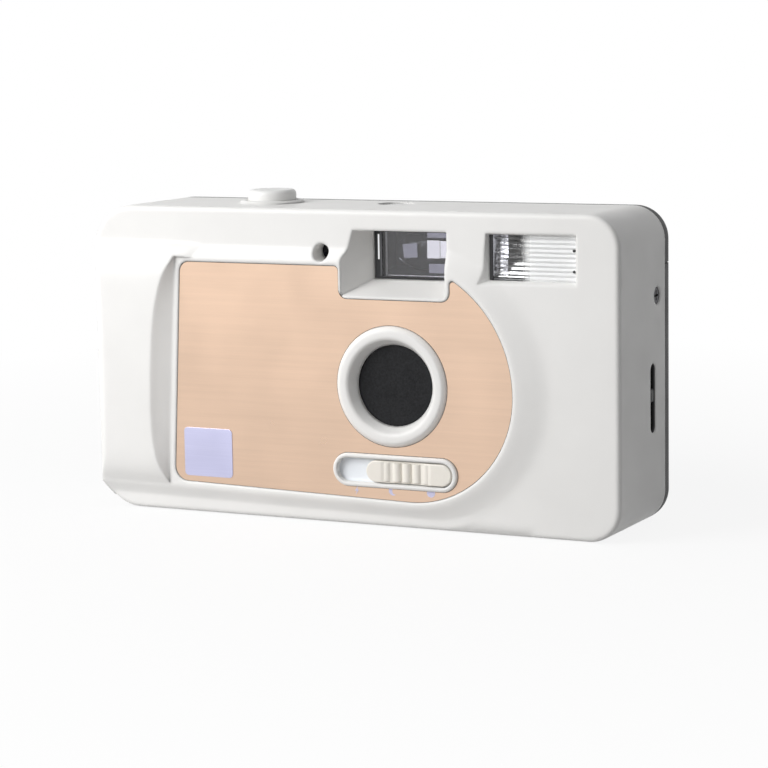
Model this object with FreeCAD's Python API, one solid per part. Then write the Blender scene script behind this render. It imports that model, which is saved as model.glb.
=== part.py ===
import FreeCAD, Part
import math
import os

Vector = FreeCAD.Vector

# Driving dimensions, in millimetres. X runs to the right seen from the front, Y runs to the back, Z up.
# The film sets the size: cassette, picture gate, sprocket, spool and cell stand side by side.

# Film and its room
gate_width = 36.0
gate_height = 24.0
cassette_radius = 12.5
cassette_height = 47.4      # room between the decks
cassette_clearance = 0.4
cassette_gap = 1.2          # rib between the gate and the cassette chamber
cassette_depth = 16.4       # axis behind the front face
film_depth = 27.6           # film plane behind the front face
sprocket_gap = 1.5
sprocket_radius = 6.05
spool_run = 19.05           # from the sprocket axis to the spool axis, along X
battery_run = 15.8          # from the spool axis to the cell axis, along X
battery_side = 11.7         # from the cell axis to the left end
latch_room = 2.9

# Shell
wall_depth = 25.6           # front face to the seam of the back
rear_depth = 5.6            # seam to the back face
corner_right = 6.9
corner_left = 9.5
front_edge = 0.9            # rounding of the front edge
rear_edge = 4.2             # rounding of the back edge
wall = 2.0                  # moulded wall of the front cover
rear_wall = 1.6             # moulded wall of the back parts
seam_gap = 0.15

# Relief of the front
grip_rise = 3.3             # how far the grip stands proud
grip_low = 2.4              # where the swell of the grip starts in height
grip_top_drop = 5.6         # from the top of the body down to the upper end of the swell
grip_crest = 16.0           # crest of the swell from the left end
grip_side_radius = 5.0
scoop_bow = 4.6             # how far the thumb scoop bows to the left at the crest
island_rise = 1.2           # raised field round the faceplate
island_skirt = 3.4          # its slope above and below
island_drift = 5.0          # how much wider its slope is on the right
lip = 0.9                   # white lip round the faceplate

# Faceplate, seen from the front
plate_thickness = 0.8
plate_recess = 0.1          # plate surface below the lip
plate_top_drop = 11.7       # from the top of the body
plate_low = 5.8
plate_top_inset = 22.15     # left edge from the left end of the body, at the top
plate_bottom_inset = 19.65  # and at the bottom
plate_bottom_rise = 1.2     # the bottom edge climbs by this much to the left
plate_apex_reach = 27.1     # rightmost point from the lens axis
plate_apex_drop = 1.0
plate_round = 1.7           # the upper arc is this much larger than the plate's half height
plate_corner_top = 2.2
plate_corner_bottom = 3.0
plate_clearance = 0.12
notch_left_reach = 12.05
notch_right_reach = 13.5
notch_margin = 3.75         # below the viewfinder
notch_radius = 2.0
notch_tip = 0.7

# Lens collar and lens
collar_radius = 12.6
collar_height = 1.9         # above the front face
collar_mouth = 9.8
collar_throat = 8.5
lens_front_radius = 4.6
lens_rear_radius = 3.6
lens_barrel_radius = 6.4
lens_flange_radius = 9.9
aperture_radius = 2.6

# Slide switch below the lens
slot_offset = 0.5           # right of the lens axis
slot_drop = 17.85           # below the lens axis
slot_length = 28.6
slot_height = 7.0
slot_rim = 0.95
switch_length = 19.6
switch_travel = 5.8
switch_end_gap = 0.25
stem_width = 3.0
stem_height = 2.0
switch_pin_radius = 0.9
switch_side_gap = 0.25
switch_floor_gap = 0.15
switch_rib_count = 5
switch_rib_pitch = 2.3
switch_rib_radius = 1.2
scoop_depth = 0.75
clip_length = 8.0
clip_height = 4.4
clip_thickness = 0.6

# Lens cover blade and its pivot
cover_depth = 0.9           # behind the front face
cover_radius = 9.4
cover_thickness = 0.8
cover_gap = 0.2
cover_hub_radius = 2.8
cover_pivot_radius = 1.2
cover_pin_rise = 4.14       # switch pin above the pivot
cover_lobe_length = 12.2
cover_lobe_width = 4.8
cover_slot_length = 5.9

# Viewfinder
window_top_drop = 4.5       # top of the windows from the top of the body
finder_left_reach = 6.9     # from the lens axis
finder_right_reach = 12.4
finder_height = 10.2
finder_depth = 6.0
finder_tunnel_wall = 0.9
window_pane = 1.0
eyepiece_width = 10.0
eyepiece_height = 5.0
eyepiece_drop = 9.5         # its lower edge from the top of the body
eyepiece_curve = 30.0

# Flash
flash_end_gap = 9.6         # from the right end of the body
flash_width = 18.8
flash_height = 9.3
flash_recess = 1.0
flash_flare = 2.4
flash_rib_pitch = 0.85
flash_rib_depth = 0.25
flash_flange = 0.8
flash_flange_thickness = 0.6
flash_tube_radius = 1.3
flash_tube_depth = 5.6      # tube axis behind the front face
reflector_wall = 0.4

# Round eye beside the viewfinder
sensor_reach = 16.3         # left of the lens axis
sensor_drop = 9.0           # below the top of the body
sensor_radius = 1.85
sensor_depth = 4.0
sensor_base = 0.4
sensor_bulge = 0.35

# Circuit board behind the front wall
board_width = 34.4
board_height = 14.5
board_thickness = 1.2
board_post_radius = 1.5
coil_radius = 2.4
capacitor_radius = 4.0
capacitor_length = 30.0
capacitor_inset = 8.5       # from the left end of the body
capacitor_depth = 19.9      # behind the front face

# Shutter release
button_inset = 36.1         # from the left end of the body
button_depth = 15.0         # behind the front face
button_radius = 5.2
button_gap = 0.3
button_height = 2.9
button_travel = 1.2
button_edge = 1.1
button_collar_radius = 6.9
button_collar_height = 0.6
button_flange = 0.7
button_flange_reach = 0.9
button_stem_radius = 2.0
button_dish = 0.2
lever_arm = 13.3            # from the button axis to the lever's pivot
lever_pivot_drop = 4.35     # below the top of the body
lever_depth = 14.2
lever_width = 2.8
lever_thickness = 0.9
shutter_pivot_reach = 9.6   # left of the lens axis
shutter_pivot_rise = 6.8    # above the lens axis
shutter_depth = 8.6
shutter_thickness = 0.4
shutter_lobe_radius = 4.0
shutter_tail = 4.5
shutter_tail_lean = 30.0

# Film body
chamber_wall = 1.0
chassis_low = 4.8
floor_thickness = 1.2
roof_thickness = 0.8
chassis_gap = 0.2           # from the seam
back_plate = 1.2
tunnel_front = 9.4          # depth of the light tunnel's front end
tunnel_mouth = 12.0
tunnel_wall = 1.0
rail_height = 0.6
rail_inner_gap = 1.1
rail_inner_half = 0.7
rail_outer_reach = 18.2     # guide rails above and below the lens axis
rail_outer_half = 0.55

# Film transport
gear_module = 0.8
gear_teeth = 16
idler_teeth = 12
gear_thickness = 0.8
gear_gap = 1.2              # above the deck
wheel_proud = 1.2           # thumb wheel stands out of the back
wheel_radius = 13.2
wheel_gap = 0.3
wheel_thickness = 3.2
wheel_notches = 36
wheel_notch_radius = 0.6
wheel_dish = 0.9
wheel_rim = 2.4
sprocket_teeth = 8
sprocket_tooth = 1.15
sprocket_room = 1.65
perforation_offset = 14.1   # rows of film holes above and below the lens axis
spool_radius = 5.6
spool_chamber = 10.4
spool_flange = 0.9
spool_slot_width = 2.0
spool_slot_height = 24.0
shaft_radius = 1.5
running = 0.05              # radial clearance of a shaft in its hole

# Frame counter
counter_reach = 7.9         # window left of the lens axis
counter_depth = 18.2
counter_window_radius = 3.7
dial_radius = 7.6
dial_offset = 4.8           # dial axis left of the window
dial_gap = 2.9              # above the thumb wheel
dial_thickness = 0.6
dial_room = 0.8             # below the top wall
dial_teeth = 24
dial_pin_radius = 0.8

# Rewind
crank_radius = 8.2
crank_thickness = 2.2
crank_pocket = 2.7
crank_low = 0.3
crank_gap = 0.4
crank_shaft = 1.8
crank_pin_radius = 0.45
crank_pin_inset = 1.9
handle_width = 3.6
handle_thickness = 1.4
handle_length = 13.4
handle_gap = 0.3
fork_disc_radius = 4.4
fork_disc_thickness = 1.1
prong_height = 3.4
prong_reach = 1.9
rewind_button_radius = 2.2
rewind_button_gap = 0.3
rewind_button_travel = 1.2
rewind_button_low = 0.2
rewind_button_flange = 0.9

# Back door
hinge_radius = 1.5
hinge_pin_radius = 0.7
hinge_inset = 1.7           # hinge axis inside the end of the body
hinge_gap = 0.3
ear_length = 5.8
ear_low_gap = 2.0           # lower ear above the floor
ear_high_drop = 8.2         # upper ear below the top of the door
pressure_width = 39.0
pressure_height = 32.0
pressure_thickness = 0.7
pressure_gap = 0.25         # in front of the pressure plate, for the film
pressure_travel = 0.5
pressure_corner = 2.0
pressure_pin_reach = 15.0
pressure_pin_radius = 0.8
pressure_pin_gap = 0.3
spring_half_length = 10.0
spring_thickness = 0.2
spring_width = 6.0
thumb_rib_count = 6
thumb_rib_pitch = 2.2
thumb_rib_height = 0.45

# Door latch, in the right end
latch_slot_drop = 9.8       # lower end of the slot below the lens axis
latch_slot_rise = 4.6       # upper end above it
latch_slot_front = 17.1
latch_slot_back = 19.9
latch_slot_round = 1.4
latch_travel = 3.0
latch_inset = 3.6           # from the right end of the body
latch_thickness = 1.2
latch_low = 8.0
latch_screw_gap = 0.8       # to the post of the side screw above it
latch_width = 6.0
latch_pin_radius = 0.8
latch_pin_gap = 0.3
latch_pin_drop = 14.2       # lower guide pin below the lens axis
latch_pin_rise = 8.8
latch_hook_drop = 19.7      # lower hook below the lens axis
latch_hook_rise = 10.3
nub_drop = 3.5
nub_inset = 0.1             # behind the end face
nub_height = 2.8
nub_edge = 0.5

# Battery
battery_depth = 9.5
battery_radius = 5.25
battery_low = 6.6
battery_short = 2.9         # the cell is shorter than the room between the decks
battery_gap = 0.3
battery_head = 1.0          # free height above the cell
battery_pole_radius = 1.9
battery_pole = 1.0
contact_radius = 4.0
contact_thickness = 0.4
sleeve_wall = 0.9
hatch_edge = 7.1            # right edge of the hatch from the cell axis
hatch_reach = 12.7          # from the hinge of the hatch to its free end
hatch_front = 2.8
hatch_back = 16.2
hatch_gap = 0.3
hatch_barrel = 1.0
hatch_pin = 0.5
hatch_pin_reach = 0.8
hatch_seat_radius = 3.0
hatch_seat = 1.2

# Screws
screw_head_radius = 1.75
screw_head = 0.8
screw_head_gap = 0.1
screw_shank_radius = 0.9
screw_post_radius = 2.4
screw_slot_length = 2.1
screw_slot_width = 0.44
screw_slot_depth = 0.4
side_screw_depth = 21.0
side_screw_drop = 18.0      # below the top of the body
side_post_radius = 2.2
side_screw_length = 4.6
rear_screw_length = 12.0
rear_screw_inset_left = 6.6
rear_screw_inset_right = 5.8
bottom_screw_depth = 22.0
bottom_screw_length = 5.6

# Places that follow from the sizes above
cassette_bore = cassette_radius + cassette_clearance
right_room = gate_width / 2 + cassette_gap + 2 * cassette_bore + latch_room + wall
left_room = gate_width / 2 + sprocket_gap + sprocket_radius + spool_run + battery_run + battery_side
body_width = left_room + right_room
right = body_width / 2
left = -right
lens_x = right - right_room
floor_top = chassis_low + floor_thickness
lens_z = floor_top + cassette_height / 2
roof_low = floor_top + cassette_height
chassis_top = roof_low + roof_thickness
door_top = chassis_top
gear_low = chassis_top + gear_gap
wheel_low = gear_low + gear_thickness + wheel_gap
wheel_top = wheel_low + wheel_thickness
dial_low = wheel_top + dial_gap
dial_top = dial_low + dial_thickness
body_height = dial_top + dial_room + wall
overall_depth = grip_rise + wall_depth + rear_depth + wheel_proud
front = grip_rise - overall_depth / 2
seam = front + wall_depth
back = seam + rear_depth
inner_back = back - rear_wall
plate_front = front - island_rise + plate_recess
pocket_floor = plate_front + plate_thickness
cover_front = front + cover_depth
cover_back = cover_front + cover_thickness
inner_face = cover_front - cover_gap
film_plane = front + film_depth
chassis_back = seam - chassis_gap
grip_high = body_height - grip_top_drop
plate_top = body_height - plate_top_drop
plate_top_left = left + plate_top_inset
plate_bottom_left = left + plate_bottom_inset
plate_apex_x = lens_x + plate_apex_reach
plate_apex_z = lens_z - plate_apex_drop
plate_upper_radius = plate_top - plate_apex_z + plate_round
plate_lower_radius = plate_apex_z - plate_low
slot_x = lens_x + slot_offset
slot_z = lens_z - slot_drop
switch_pin_x = slot_x + switch_travel / 2
cover_pivot_x = slot_x
cover_pivot_z = slot_z - cover_pin_rise
finder_left = lens_x - finder_left_reach
finder_right = lens_x + finder_right_reach
finder_top = body_height - window_top_drop
finder_bottom = finder_top - finder_height
window_front = front + finder_depth
notch_left = lens_x - notch_left_reach
notch_right = lens_x + notch_right_reach
notch_floor = finder_bottom - notch_margin
eyepiece_x = slot_x
eyepiece_bottom = body_height - eyepiece_drop
flash_right = right - flash_end_gap
flash_left = flash_right - flash_width
flash_top = body_height - window_top_drop
flash_bottom = flash_top - flash_height
flash_pad_back = front + wall
reflector_mouth = flash_pad_back + flash_flange_thickness
sensor_x = lens_x - sensor_reach
sensor_z = body_height - sensor_drop
sensor_back = front + sensor_depth
board_front = sensor_back + sensor_base
board_back = board_front + board_thickness
board_right = sensor_x + 2.6
board_left = board_right - board_width
board_top = sensor_z + 4.0
board_low = board_top - board_height
gate_left = lens_x - gate_width / 2
gate_right = lens_x + gate_width / 2
gate_low = lens_z - gate_height / 2
gate_high = lens_z + gate_height / 2
gear_radius = gear_module * gear_teeth / 2
idler_radius = gear_module * idler_teeth / 2
sprocket_x = gate_left - sprocket_gap - sprocket_radius
sprocket_y = film_plane - sprocket_radius
spool_x = sprocket_x - spool_run
spool_y = back + wheel_proud - wheel_radius
spool_distance = math.hypot(spool_run, spool_y - sprocket_y)
train_angle = math.atan2(sprocket_y - spool_y, sprocket_x - spool_x)
idler_angle = math.acos(spool_distance / 2 / (gear_radius + idler_radius))
idler_x = spool_x + (gear_radius + idler_radius) * math.cos(train_angle - idler_angle)
idler_y = spool_y + (gear_radius + idler_radius) * math.sin(train_angle - idler_angle)
cassette_x = gate_right + cassette_gap + cassette_bore
cassette_y = front + cassette_depth
battery_x = spool_x - battery_run
battery_y = front + battery_depth
battery_length = cassette_height - battery_short
battery_top = battery_low + battery_length
sleeve_top = roof_low - battery_head
hatch_right = battery_x + hatch_edge
hatch_pin_x = hatch_right - hatch_barrel - hatch_gap
crank_y = cassette_y
crank_top = crank_low + crank_thickness
crank_pin_x = cassette_x + crank_radius - crank_pin_inset
button_x = left + button_inset
button_y = front + button_depth
lever_pivot_x = button_x + lever_arm
lever_pivot_z = body_height - lever_pivot_drop
lever_y = front + lever_depth
shutter_pivot_x = lens_x - shutter_pivot_reach
shutter_pivot_z = lens_z + shutter_pivot_rise
blade_front = front + shutter_depth
counter_x = lens_x - counter_reach
dial_x = counter_x - dial_offset
dial_y = front + counter_depth
barrel_front = front + 2.4
lens_seat = front + 3.1
lens_stop = front + 5.0
rear_lens_seat = front + 6.4
flange_front = front + 7.2
flange_back = flange_front + 1.0
tunnel_y = front + tunnel_front
hinge_x = left + hinge_inset
hinge_y = seam + hinge_gap + hinge_radius
ear_places = (floor_top + ear_low_gap, door_top - ear_high_drop)
latch_left = right - latch_inset
latch_right = latch_left + latch_thickness
side_screw_z = body_height - side_screw_drop
latch_high = side_screw_z - side_post_radius - latch_screw_gap
latch_slot_low = lens_z - latch_slot_drop
latch_slot_high = lens_z + latch_slot_rise
latch_y = front + latch_slot_front
latch_pin_y = latch_y + 3.2
latch_pin_places = (lens_z - latch_pin_drop, lens_z + latch_pin_rise)
latch_hook_places = (lens_z - latch_hook_drop, lens_z + latch_hook_rise)
nub_low = lens_z - nub_drop


# Simple solids

def block(x0, x1, y0, y1, z0, z1):
    return Part.makeBox(x1 - x0, y1 - y0, z1 - z0, Vector(x0, y0, z0))


def post(x, y, radius, z0, z1):
    return Part.makeCylinder(radius, z1 - z0, Vector(x, y, z0), Vector(0, 0, 1))


def barrel(x, z, radius, y0, y1):
    return Part.makeCylinder(radius, y1 - y0, Vector(x, y0, z), Vector(0, 1, 0))


def axle(y, z, radius, x0, x1):
    return Part.makeCylinder(radius, x1 - x0, Vector(x0, y, z), Vector(1, 0, 0))


def straight(a, b):
    return Part.LineSegment(a, b).toShape()


def bend(a, middle, b):
    return Part.Arc(a, middle, b).toShape()


def at_angle(centre, radius, degrees):
    turn = math.radians(degrees)
    return centre + Vector(radius * math.cos(turn), 0, radius * math.sin(turn))


def closed_face(edges):
    return Part.Face(Part.Wire(edges))


def front_polygon(points, y):
    corners = [Vector(x, y, z) for x, z in points]
    return Part.makePolygon(corners + corners[:1])


def front_plate(points, y0, y1):
    return Part.Face(front_polygon(points, y0)).extrude(Vector(0, y1 - y0, 0))


def plan_plate(points, z0, z1):
    corners = [Vector(x, y, z0) for x, y in points]
    return Part.Face(Part.makePolygon(corners + corners[:1])).extrude(Vector(0, 0, z1 - z0))


def ruled(first, second):
    return Part.makeLoft([first, second], True, True)


def fuse_all(shapes):
    return shapes[0].multiFuse(shapes[1:]).removeSplitter()


def cut_all(shape, tools):
    return shape.cut(tools)


# Outlines seen from the front

def rounded_outline(x0, x1, z0, z1, radii, y):
    top_right, bottom_right, bottom_left, top_left = radii
    corners = [
        (x1 - top_right, z1 - top_right, top_right, 0),
        (x0 + top_left, z1 - top_left, top_left, 90),
        (x0 + bottom_left, z0 + bottom_left, bottom_left, 180),
        (x1 - bottom_right, z0 + bottom_right, bottom_right, 270),
    ]
    edges = []
    previous = at_angle(Vector(corners[3][0], y, corners[3][1]), bottom_right, 360)
    for x, z, radius, start in corners:
        centre = Vector(x, y, z)
        first = at_angle(centre, radius, start)
        last = at_angle(centre, radius, start + 90)
        edges.append(straight(previous, first))
        edges.append(bend(first, at_angle(centre, radius, start + 45), last))
        previous = last
    return Part.Wire(edges)


def body_outline(inset, y):
    radii = [corner_right - inset, corner_right - inset, corner_left - inset, corner_left - inset]
    return rounded_outline(left + inset, right - inset, inset, body_height - inset, radii, y)


def body_prism(inset, y0, y1):
    return Part.Face(body_outline(inset, y0)).extrude(Vector(0, y1 - y0, 0))


def stadium(x, z, length, height, y0, y1):
    radius = height / 2
    half = length / 2 - radius
    middle = block(x - half, x + half, y0, y1, z - radius, z + radius)
    ends = [barrel(x - half, z, radius, y0, y1), barrel(x + half, z, radius, y0, y1)]
    return fuse_all([middle] + ends)


def island_outline(grow, y, drift=0.0):
    beyond = left - 1
    top = plate_top + grow
    low = plate_low - grow
    upper_reach = plate_upper_radius + grow
    upper_centre = Vector(plate_apex_x - plate_upper_radius + drift, y, plate_apex_z)
    lower_centre = Vector(plate_apex_x - plate_lower_radius + drift, y, plate_apex_z)
    run = math.sqrt(upper_reach ** 2 - (top - plate_apex_z) ** 2)
    top_meets = Vector(upper_centre.x + run, y, top)
    apex = Vector(plate_apex_x + grow + drift, y, plate_apex_z)
    bottom = Vector(lower_centre.x, y, low)
    top_left_point = Vector(beyond, y, top)
    bottom_left_point = Vector(beyond, y, low + plate_bottom_rise)
    return Part.Wire([
        straight(top_left_point, top_meets),
        bend(top_meets, at_angle(upper_centre, upper_reach, 35), apex),
        bend(apex, at_angle(lower_centre, plate_lower_radius + grow, -45), bottom),
        straight(bottom, bottom_left_point),
        straight(bottom_left_point, top_left_point),
    ])


def plate_solid(grow, y0, y1):
    low_centre = plate_apex_x - plate_lower_radius
    low = plate_low - grow
    top = plate_top + grow
    right_wall = notch_right - grow
    run = right_wall - plate_apex_x + plate_upper_radius
    rise = math.sqrt((plate_upper_radius + grow) ** 2 - run ** 2)
    tip = Vector(right_wall, y0, plate_apex_z + rise)
    upper_centre = Vector(plate_apex_x - plate_upper_radius, y0, plate_apex_z)
    lower_centre = Vector(low_centre, y0, plate_apex_z)
    apex = Vector(plate_apex_x + grow, y0, plate_apex_z)
    bottom = Vector(low_centre, y0, low)
    corners = [
        Vector(plate_bottom_left - grow, y0, low + plate_bottom_rise),
        Vector(plate_top_left - grow, y0, top),
        Vector(notch_left + grow, y0, top),
        Vector(notch_left + grow, y0, notch_floor + grow),
        Vector(right_wall, y0, notch_floor + grow),
    ]
    outline = [straight(bottom, corners[0])]
    outline += [straight(a, b) for a, b in zip(corners, corners[1:])]
    outline.append(straight(corners[-1], tip))
    outline.append(bend(tip, at_angle(upper_centre, plate_upper_radius + grow, 28), apex))
    outline.append(bend(apex, at_angle(lower_centre, plate_lower_radius + grow, -45), bottom))
    solid = closed_face(outline).extrude(Vector(0, y1 - y0, 0))
    radii = [plate_corner_bottom, plate_corner_top, plate_clearance * 8, notch_radius, notch_radius]
    for corner, radius in zip(corners, radii):
        solid = round_upright(solid, corner, radius)
    return round_upright(solid, tip, notch_tip)


def round_upright(solid, place, radius):
    found = []
    for edge in solid.Edges:
        ends = edge.Vertexes
        if len(ends) < 2:
            continue
        along_y = abs(ends[0].X - ends[1].X) < 1e-6 and abs(ends[0].Z - ends[1].Z) < 1e-6
        if along_y and abs(ends[0].X - place.x) < 0.01 and abs(ends[0].Z - place.z) < 0.01:
            found.append(edge)
    return solid.makeFillet(radius, found)


# Front cover

def edges_on_plane(solid, y):
    return [edge for edge in solid.Edges if all(abs(v.Y - y) < 1e-6 for v in edge.Vertexes)]


def grip_section(x, rise):
    y = front + 0.2
    middle = (grip_low + grip_high) / 2
    half = (grip_high - grip_low) / 2
    heights = [(-1.0, 0.0), (-0.91, 0.25), (-0.79, 0.75), (-0.6, 0.95), (0.0, 1.0), (0.6, 0.95),
               (0.79, 0.75), (0.91, 0.25), (1.0, 0.0)]
    crest = [Vector(x, y - share * (rise + 0.2), middle + along * half) for along, share in heights]
    curve = Part.BSplineCurve()
    curve.interpolate(Points=crest, InitialTangent=Vector(0, 0, 1), FinalTangent=Vector(0, 0, 1))
    return Part.Wire([curve.toShape(), straight(crest[-1], crest[0])])


def grip_swell():
    crest_x = left + grip_crest
    sections = [
        grip_section(left - 1, grip_rise * 0.8),
        grip_section(left + grip_crest / 2, grip_rise * 0.96),
        grip_section(crest_x, grip_rise),
        grip_section(plate_top_left + 1, grip_rise * 0.8),
        grip_section(plate_top_left + 6, 0.2),
    ]
    return Part.makeLoft(sections, True, False)


def end_rounding():
    y1 = front + wall
    crest = front - grip_rise
    turn_y = crest + grip_side_radius
    side = left + grip_side_radius
    on_arc = grip_side_radius * math.sqrt(0.5)
    far = right + 1
    profile = [
        straight(Vector(left, y1, 0), Vector(left, turn_y, 0)),
        bend(Vector(left, turn_y, 0), Vector(side - on_arc, turn_y - on_arc, 0), Vector(side, crest, 0)),
        straight(Vector(side, crest, 0), Vector(far, crest, 0)),
        straight(Vector(far, crest, 0), Vector(far, y1, 0)),
        straight(Vector(far, y1, 0), Vector(left, y1, 0)),
    ]
    return closed_face(profile).extrude(Vector(0, 0, body_height))


def scoop_outline(y, bow, spread):
    top = Vector(plate_top_left - 1.2, y, plate_top + lip + spread)
    low = Vector(plate_bottom_left - 1.5, y, plate_low + plate_bottom_rise - lip - spread)
    far = plate_top_left + 12
    rim = []
    for share in (0, 0.04, 0.12, 0.28, 0.5, 0.72, 0.88, 0.96, 1):
        reach = (1 - abs(2 * share - 1) ** 3.2) ** 0.8
        rim.append(top + (low - top) * share - Vector(bow * reach, 0, 0))
    curve = Part.BSplineCurve()
    curve.interpolate(Points=rim)
    return Part.Wire([
        curve.toShape(),
        straight(low, Vector(far, y, low.z)),
        straight(Vector(far, y, low.z), Vector(far, y, top.z)),
        straight(Vector(far, y, top.z), top),
    ])


def scoop_cutter():
    levels = [
        (grip_rise + 0.6, scoop_bow + 0.5, 1.2),
        (grip_rise - 0.2, scoop_bow - 0.6, 0.9),
        (island_rise + 0.9, scoop_bow * 0.45, 0.4),
        (island_rise, 0.2, 0.0),
    ]
    outlines = [scoop_outline(front - height, bow, spread) for height, bow, spread in levels]
    return Part.makeLoft(outlines, True, False)


def island():
    levels = [(1.0, 1.0, -0.3), (0.72, 0.62, 0.1), (0.42, 0.3, 0.5), (0.16, 0.08, 0.88), (0.0, 0.0, 1.0)]
    outlines = []
    for skirt, drift, height in levels:
        outlines.append(island_outline(lip + island_skirt * skirt, front - island_rise * height,
                                       island_drift * drift))
    return Part.makeLoft(outlines, True, False)


def front_relief():
    bounds = body_prism(0, front - grip_rise - 1, front + wall)
    relief = grip_swell().fuse(island())
    return relief.common(bounds).common(end_rounding()).cut(scoop_cutter())


def collar():
    throat_y = inner_face
    points = [
        (collar_radius, pocket_floor - 0.2),
        (collar_radius, front - collar_height + 0.7),
        (collar_radius - 0.9, front - collar_height),
        (collar_mouth + 0.4, front - collar_height),
        (collar_mouth, front - collar_height + 0.3),
        (collar_throat, throat_y),
        (collar_throat + 2, throat_y),
        (collar_throat + 2, pocket_floor - 0.2),
    ]
    corners = [Vector(lens_x + r, y, lens_z) for r, y in points]
    profile = Part.Face(Part.makePolygon(corners + corners[:1]))
    return profile.revolve(Vector(lens_x, 0, lens_z), Vector(0, 1, 0), 360)


def lens_throat():
    cone_depth = inner_face - front + collar_height
    slope = (collar_mouth - collar_throat) / (cone_depth - 0.3)
    start = front - collar_height - 0.5
    mouth = collar_throat + slope * (inner_face - start)
    cone = Part.makeCone(mouth, collar_throat, inner_face - start, Vector(lens_x, start, lens_z),
                         Vector(0, 1, 0))
    return cone


def slot_frame():
    rim_front = front - island_rise - 0.5
    outer = stadium(slot_x, slot_z, slot_length, slot_height, rim_front, pocket_floor + 0.2)
    outer = outer.makeFillet(0.35, edges_on_plane(outer, rim_front))
    inner = stadium(slot_x, slot_z, slot_length - 2 * slot_rim, slot_height - 2 * slot_rim,
                    rim_front - 1, pocket_floor)
    return outer.cut(inner)


def switch_slit():
    half_length = (stem_width + switch_travel) / 2 + 0.2
    half_height = stem_height / 2 + 0.15
    return block(slot_x - half_length, slot_x + half_length, pocket_floor - 1, front + wall + 1,
                 slot_z - half_height, slot_z + half_height)


def finder_funnel():
    start = front - island_rise - 1
    end = front + finder_depth
    near = [(finder_left - 2.9, finder_top + 0.35), (finder_right, finder_top + 0.35),
            (finder_right, finder_bottom - 3.6), (finder_left - 5.3, finder_bottom - 3.6),
            (finder_left - 5.3, finder_bottom + 4.8)]
    far = [(finder_left, finder_top), (finder_right, finder_top), (finder_right, finder_bottom),
           (finder_left, finder_bottom), (finder_left, finder_bottom + 4.6)]
    return ruled(front_polygon(near, start), front_polygon(far, end))


def finder_well():
    x0 = notch_left - 0.3
    wall_out = finder_tunnel_wall + 0.3
    return block(x0, finder_right + wall_out, front, front + finder_depth, finder_bottom - 4.6,
                 finder_top + 1.2)


def flash_funnel():
    start = front - 1
    end = front + flash_recess
    near = [(flash_left - flash_flare * 0.3, flash_top + 0.5), (flash_right + 0.9, flash_top + 0.5),
            (flash_right + 0.9, flash_bottom - 0.9), (flash_left - flash_flare, flash_bottom - 0.9)]
    far = [(flash_left, flash_top), (flash_right, flash_top), (flash_right, flash_bottom),
           (flash_left, flash_bottom)]
    opening = block(flash_left, flash_right, front, front + wall + 1, flash_bottom, flash_top)
    return ruled(front_polygon(near, start), front_polygon(far, end)).fuse(opening)


def latch_slot():
    inner = right - wall
    slot_back = front + latch_slot_back
    through = block(inner - 1, right + 1, front + latch_slot_front, slot_back,
                    latch_slot_low + latch_slot_round, latch_slot_high - latch_slot_round)
    tips = [axle(slot_back - latch_slot_round, z, latch_slot_round, inner - 1, right + 1)
            for z in (latch_slot_low + latch_slot_round, latch_slot_high - latch_slot_round)]
    return fuse_all([through] + tips)


def screw_places():
    low_y = front + bottom_screw_depth
    rear_z = body_height - rear_screw_inset_left
    return {
        "side": (right, front + side_screw_depth, side_screw_z),
        "rear": [(left + rear_screw_inset_left, rear_z), (right - rear_screw_inset_right, rear_z)],
        "bottom": [(sprocket_x - 10.5, low_y), (gate_right - 4, low_y)],
    }


def cover_posts():
    start = front + wall - 0.5
    posts = [barrel(x, z, screw_post_radius, start, seam) for x, z in screw_places()["rear"]]
    return posts + [barrel(x, z, board_post_radius, start, board_front) for x, z in board_posts()]


def board_posts():
    return [(board_left + 4.0, board_top - 4.0), (board_right - 9.4, board_low + 4.0)]


def top_openings():
    button = post(button_x, button_y, button_radius + button_gap, body_height - wall - 1,
                  body_height + button_collar_height + 1)
    window = post(counter_x, dial_y, counter_window_radius, body_height - wall - 1, body_height + 1)
    return [button, window]


def hatch_bounds(gap):
    box = block(hatch_pin_x - hatch_reach - 2, hatch_right - gap, front + hatch_front + gap,
                front + hatch_back - gap, -1, wall + 5)
    reach = barrel(hatch_pin_x, hatch_barrel, hatch_reach - gap, front, seam)
    return box.common(reach)


def hatch_pin_holes():
    y0 = front + hatch_front
    y1 = front + hatch_back
    return barrel(hatch_pin_x, hatch_barrel, hatch_pin + running, y0 - 1.0, y1 + 1.0)


def bottom_openings():
    pocket = post(cassette_x, crank_y, crank_radius + crank_gap, -1, crank_pocket)
    shaft = post(cassette_x, crank_y, crank_shaft + running, 0, wall + 3)
    button = post(sprocket_x, sprocket_y, rewind_button_radius + rewind_button_gap, -1, wall + 1)
    return [pocket, shaft, button, hatch_bounds(0), hatch_pin_holes()]


def screw_holes():
    places = screw_places()
    head = screw_head_radius + screw_head_gap
    shank = screw_shank_radius + screw_head_gap
    x, y, z = places["side"]
    holes = [axle(y, z, head, right - 1.0, right + 1), axle(y, z, shank, right - wall - 1, right)]
    for x, z in places["rear"]:
        holes.append(barrel(x, z, screw_shank_radius + running, seam - 10, seam))
    for x, y in places["bottom"]:
        holes.append(post(x, y, head, -1, 1.0))
        holes.append(post(x, y, shank, 0, wall + 1))
    return holes


def inner_space():
    plain = body_prism(wall, front + wall, seam + 1)
    return plain.fuse(thinned_field())


def thinned_field():
    y0 = inner_face
    y1 = front + wall + 0.5
    outline = island_outline(lip + 0.4, y0)
    field = Part.Face(outline).extrude(Vector(0, y1 - y0, 0))
    limits = block(plate_bottom_left + 1, right, y0 - 1, y1 + 1, plate_low - 1.6, notch_floor - 1.2)
    return field.common(limits)


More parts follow.
